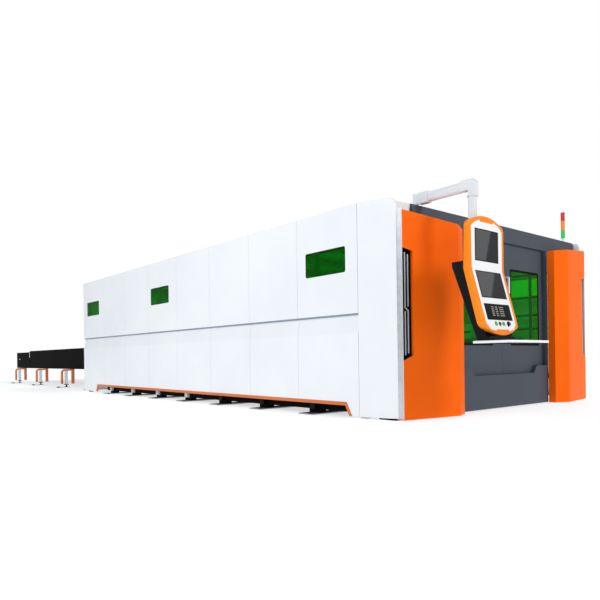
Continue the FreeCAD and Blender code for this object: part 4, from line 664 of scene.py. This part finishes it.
# ---- seals and strips --------------------------------------------------------------------
WALL_Y = 2273.0              # outside of a side wall
SIDE_WINDOWS = ((-886.0, -192.0), (-5163.0, -4482.0), (-8320.0, -7640.0))    # rear and front x
SIDE_SEAL_Z = (1661.0, 1950.0)
SIDE_SEAL = (21.0, 4.0, 5.0)                     # corner, width, depth
DOOR_FACE = 400.0
DOOR_SEAL_Y = (222.0, 948.0)
DOOR_SEAL_Z = (827.0, 1818.0)
# the door seals are drawn wide: their black band is partly real rubber, partly painted shade of the
# recessed pane
DOOR_SEAL_AND_SHADE = (18.0, 30.0, 5.0)

GROOVE_ENDS = (-8556.0, -4.0)
GROOVE_PROFILE = np.array([(2234, 1177.6), (2234, 1160), (2241, 1158), (2243, 1160),
                           (2243, 1171), (2268, 1172.5), (2270, 1175), (2268, 1177.6)])  # y, z

RAIL_HEIGHTS = (1990.0, 1622.0, 1331.0, 1108.0)
RAIL_ENDS = (-8400.0, -60.0)
RAIL_Y = 2107.0
RAIL_HALF = (15, 18)                             # half its depth and height
UPRIGHT_X = -331
UPRIGHT_Y = 2077.0
UPRIGHT_ENDS = (255.0, 2270.0)
UPRIGHT_HALF = (20, 14)
CHAMFERED = np.array([(-1, -0.8), (-0.8, -1), (0.8, -1), (1, -0.8), (1, 0.8), (0.8, 1),
                      (-0.8, 1), (-1, 0.8)])

BEVEL_FOLD = np.array((450.0, -2144.0))          # x, y where the corner cover's bevel starts
BEVEL_TIP = np.array((521.0, -2129.0))
STRIP_LOW = 24.0
STRIP_TOP = 2270.0           # at the fold; the top falls towards the tip
STRIP_FALL = 13.0

TABLE_Y = 1773.0             # outside of the table's side plates
SIDE_MARKS = (((-14744.0, 870.0), (21.0, 78.0), 1.5),        # middle (x, z), half sizes, proud
              ((-15844.0, 752.0), (42.0, 14.0), 9.0))
MARK_EDGE = 3.0              # how far the mark's front draws in


def window_seals():
    """Black rubber seals round the side windows and the door windows; the door seals' wide black band
    is partly real rubber, partly painted shade of the recessed pane.
    """
    parts = []
    for rear, front in SIDE_WINDOWS:
        # the seal's middle line runs its own width inside the window's opening
        rings = seal(rear + SIDE_SEAL[1], front - SIDE_SEAL[1], *SIDE_SEAL_Z, *SIDE_SEAL)
        near = np.stack([rings[..., 0], -WALL_Y - rings[..., 2], rings[..., 1]], -1)
        parts += [skin(near * (1, side, 1), True, True) for side in BOTH_SIDES]
    add_piece("side_window_seals", parts, BLACK_RUBBER_AND_SHADE, "machine")
    rings = seal(*DOOR_SEAL_Y, *DOOR_SEAL_Z, *DOOR_SEAL_AND_SHADE)
    for name, side in (("left_door", -1), ("right_door", 1)):
        ring = np.stack([DOOR_FACE + rings[..., 2], side * rings[..., 0], rings[..., 1]], -1)
        add_piece(name + "_seal", [skin(ring, True, True)], BLACK_RUBBER_AND_SHADE, name)


def groove_shade_strips():
    """Grey strip along the upper edge of the shadow groove, painted shade for its dark line: a bent
    profile carried along x.
    """
    # the strip's grey is painted shade: it darkens the groove's edge where only its shadow is
    strip = capped(*(np.insert(GROOVE_PROFILE, 0, x, axis=1) for x in GROOVE_ENDS))
    parts = [mirrored(strip, side) for side in BOTH_SIDES]
    add_piece("groove_shade_strips", parts, GROOVE_SHADE_STRIP, "machine")


def wall_rails():
    """Black stiffening rails on the inner side of both walls and one upright near the doorway:
    a chamfered square section carried along x, or along z."""
    bars = []
    for z in RAIL_HEIGHTS:
        section = CHAMFERED * RAIL_HALF + (RAIL_Y, z)
        bars.append(capped(*(np.insert(section, 0, x, axis=1) for x in RAIL_ENDS)))
    section = CHAMFERED * UPRIGHT_HALF + (UPRIGHT_X, UPRIGHT_Y)
    bars.append(capped(*(raised(section, z) for z in UPRIGHT_ENDS)))
    parts = [mirrored(bar, side) for side in BOTH_SIDES for bar in bars]
    add_piece("wall_rails", parts, BLACK_COAT, "machine")


def bevel_shade_strips():
    """Satin strip on the narrow bevel of both front corners, its grey painted shade on the bevel: a
    flat profile of (along, proud) with broken edges, carried up from the floor's gap to the sloped
    top."""
    wide = np.linalg.norm(BEVEL_TIP - BEVEL_FOLD)
    along = (BEVEL_TIP - BEVEL_FOLD) / wide
    out = np.array((along[1], -along[0]))
    profile = np.array([(3, -0.5), (3, 0.6), (5, 1.0), (wide - 5, 1.0), (wide - 3, 0.6),
                        (wide - 3, -0.5)])
    flat = BEVEL_FOLD + profile[:, :1] * along + profile[:, 1:] * out
    top = STRIP_TOP - STRIP_FALL * profile[:, 0] / wide
    # the strip's grey is painted shade on the bevel of the white corner cover
    strip = capped(raised(flat, STRIP_LOW), raised(flat, top))
    parts = [mirrored(strip, side) for side in BOTH_SIDES]
    add_piece("corner_bevel_shade_strips", parts, MILLED_ALUMINIUM, "machine")


def table_marks():
    """Pale strip beside the step of each table side plate, and a pull bar near the plate's end: a
    rectangle carried outwards over (share of its size, inset, proud), so its edges are broken."""
    corner = np.array([(-1, -1), (1, -1), (1, 1), (-1, 1)])
    parts = []
    for middle, half, proud in SIDE_MARKS:
        rings = []
        for share, inset, height in ((0, 0, -1.0), (1, 0, -1.0), (1, 0, proud * 0.6),
                                     (1, MARK_EDGE, proud), (0, 0, proud)):
            flat = middle + corner * (share * (np.array(half) - inset))
            rings.append(np.stack([flat[:, 0], np.full(4, TABLE_Y + height), flat[:, 1]], -1))
        mark = skin(np.array(rings))
        parts += [mirrored(mark, side) for side in BOTH_SIDES]
    add_piece("table_side_marks", parts, POST_PAINT, "machine")


wall_rails()
bevel_shade_strips()
table_marks()
pendant_housing()
screen_bezels()
groove_shade_strips()
key_legends()
push_buttons()
rotary_knob()
rounded_tray()
ribbed_lenses()
toothed_slats()
window_seals()


# ---- floor, light and camera -------------------------------------------------------------
FLOOR_REACH = 80.0           # metres from the middle to each edge
FLOOR_GLOW = 0.62            # lifts the floor to white where the machine shades it
FLOOR_PATCH = 4000.0         # mm


def pale_floor():
    """Large flat studio floor at z = 0, bright enough to run into the white surroundings."""
    mesh = bpy.data.meshes.new("studio_floor")
    corners = [(-1, -1), (1, -1), (1, 1), (-1, 1)]
    mesh.from_pydata([(FLOOR_REACH * x, FLOOR_REACH * y, 0) for x, y in corners], [],
                     [(0, 1, 2, 3)])
    floor = bpy.data.objects.new("studio_floor", mesh)
    bpy.context.collection.objects.link(floor)
    material, tree, place = start_material("pale_studio_floor")
    shader = node(tree, "ShaderNodeBsdfPrincipled",
                  {"Roughness": 0.8, "Specular IOR Level": 0.1, "Emission Color": linear("#ffffff"),
                   "Emission Strength": FLOOR_GLOW},
                  {"Base Color": clouded(tree, place, "#bcbec0", "#c0c2c4", FLOOR_PATCH)})
    mesh.materials.append(close_material(material, tree, shader))


WORLD_LIGHT = 0.34
SUN_PLACE = (0, 0, 12)
NEARLY_UP = (0, 0.02, 1)     # off the upright, so that a light that faces down can be turned too

PHOTO_PLACE = (11.7995, -6.914, 0.692)       # metres
PHOTO_AZIMUTH = math.radians(50.09)
PHOTO_ROLL = -0.01348                        # radians
PHOTO_LENS = 34.83                           # mm
PHOTO_SENSOR = 36.0
PHOTO_SHIFT = 0.0956                         # share of the picture's width
SIGHT = 300.0                                # metres


def add_light(name, kind, energy, colour="#ffffff"):
    """A light that the camera itself doesn't see."""
    lamp = bpy.data.lights.new(name, kind)
    lamp.energy = energy
    lamp.color = linear(colour)[:3]
    holder = bpy.data.objects.new(name, lamp)
    bpy.context.collection.objects.link(holder)
    holder.visible_camera = False
    return holder, lamp


def turned_to(place, away, roll=0.0):
    """Matrix of a light at a place whose back faces a direction, rolled about that direction."""
    z = np.array(away, float) / np.linalg.norm(away)
    x = np.cross(NEARLY_UP, z)
    x = x / np.linalg.norm(x)
    y = np.cross(z, x)
    turn = Matrix([(*row, 0) for row in np.column_stack([x, y, z])] + [(0, 0, 0, 1)])
    return Matrix.Translation(place) @ turn @ Matrix.Rotation(math.radians(roll), 4, "Z")


def sun(name, azimuth, elevation, spread, strength, colour="#ffffff"):
    """Far light from a compass angle and a height above the floor, with an apparent width."""
    holder, lamp = add_light(name, "SUN", strength, colour)
    lamp.angle = math.radians(spread)
    a, e = math.radians(azimuth), math.radians(elevation)
    away = (math.cos(e) * math.cos(a), math.cos(e) * math.sin(a), math.sin(e))
    holder.matrix_world = turned_to(SUN_PLACE, away)


def softbox(name, place, away, size, power, roll=0.0):
    """Rectangular light at a place, its back turned to a direction."""
    holder, lamp = add_light(name, "AREA", power)
    lamp.shape = "RECTANGLE"
    lamp.size, lamp.size_y = size
    holder.matrix_world = turned_to(place, away, roll)
    return holder


def studio_world(strength):
    """White surroundings: full white to the eye, dimmer as a light."""
    world = bpy.data.worlds.new("studio")
    bpy.context.scene.world = world
    world.use_nodes = True
    tree = world.node_tree
    tree.nodes.clear()
    ray = node(tree, "ShaderNodeLightPath").outputs["Is Camera Ray"]
    level = node(tree, "ShaderNodeMapRange", {"To Min": strength, "To Max": 1.0}, {"Value": ray})
    background = node(tree, "ShaderNodeBackground", {"Color": linear("#ffffff")},
                      {"Strength": level.outputs["Result"]})
    output = node(tree, "ShaderNodeOutputWorld")
    tree.links.new(background.outputs[0], output.inputs["Surface"])


def photo_camera():
    """Camera at the photograph's place and angle, level but for a small roll; its shift raises the
    frame."""
    lens = bpy.data.cameras.new("photo_camera")
    lens.lens = PHOTO_LENS
    lens.sensor_width = PHOTO_SENSOR
    lens.shift_y = PHOTO_SHIFT
    lens.clip_end = SIGHT
    camera = bpy.data.objects.new("photo_camera", lens)
    bpy.context.collection.objects.link(camera)
    cosine, sine = math.cos(PHOTO_AZIMUTH), math.sin(PHOTO_AZIMUTH)
    x, y, z = PHOTO_PLACE
    level = Matrix(((cosine, 0, sine, x), (sine, 0, -cosine, y), (0, 1, 0, z), (0, 0, 0, 1)))
    camera.matrix_world = level @ Matrix.Rotation(PHOTO_ROLL, 4, "Z")
    bpy.context.scene.camera = camera


pale_floor()
studio_world(WORLD_LIGHT)
sun("front_key", azimuth=23, elevation=38, spread=16, strength=1.3)
sun("front_fill", azimuth=-8, elevation=18, spread=70, strength=0.45)
sun("side_fill", azimuth=-100, elevation=35, spread=30, strength=0.72, colour="#ecf4ff")
softbox("side_card", place=(5.0, -9.5, 6.5), away=(1.0, -7.2, 4.8), size=(5.0, 3.0), power=180)
# each screen mirrors one of these two cards as a slanting bright band
softbox("upper_screen_card", place=(12.76, 4.5, 3.18), away=(0, 1, 0), size=(1.0, 1.3),
        power=3.4, roll=-11.8)
softbox("lower_screen_card", place=(11.49, 4.5, 4.44), away=(0, 1, 0), size=(0.8, 1.3),
        power=2.3, roll=-38.2)
softbox("far_window_card", place=(5.3, 5.5, 2.2), away=(0, 1, 0), size=(5.0, 3.0), power=62)
work_light = softbox("interior_work_light", place=(3.0, 0.0, 2.25), away=(0, 0, 1),
                     size=(7.5, 3.0), power=90)
work_light.visible_transmission = False      # the windows show what it lights, not the lamp
photo_camera()
bpy.context.scene.view_settings.view_transform = "Standard"
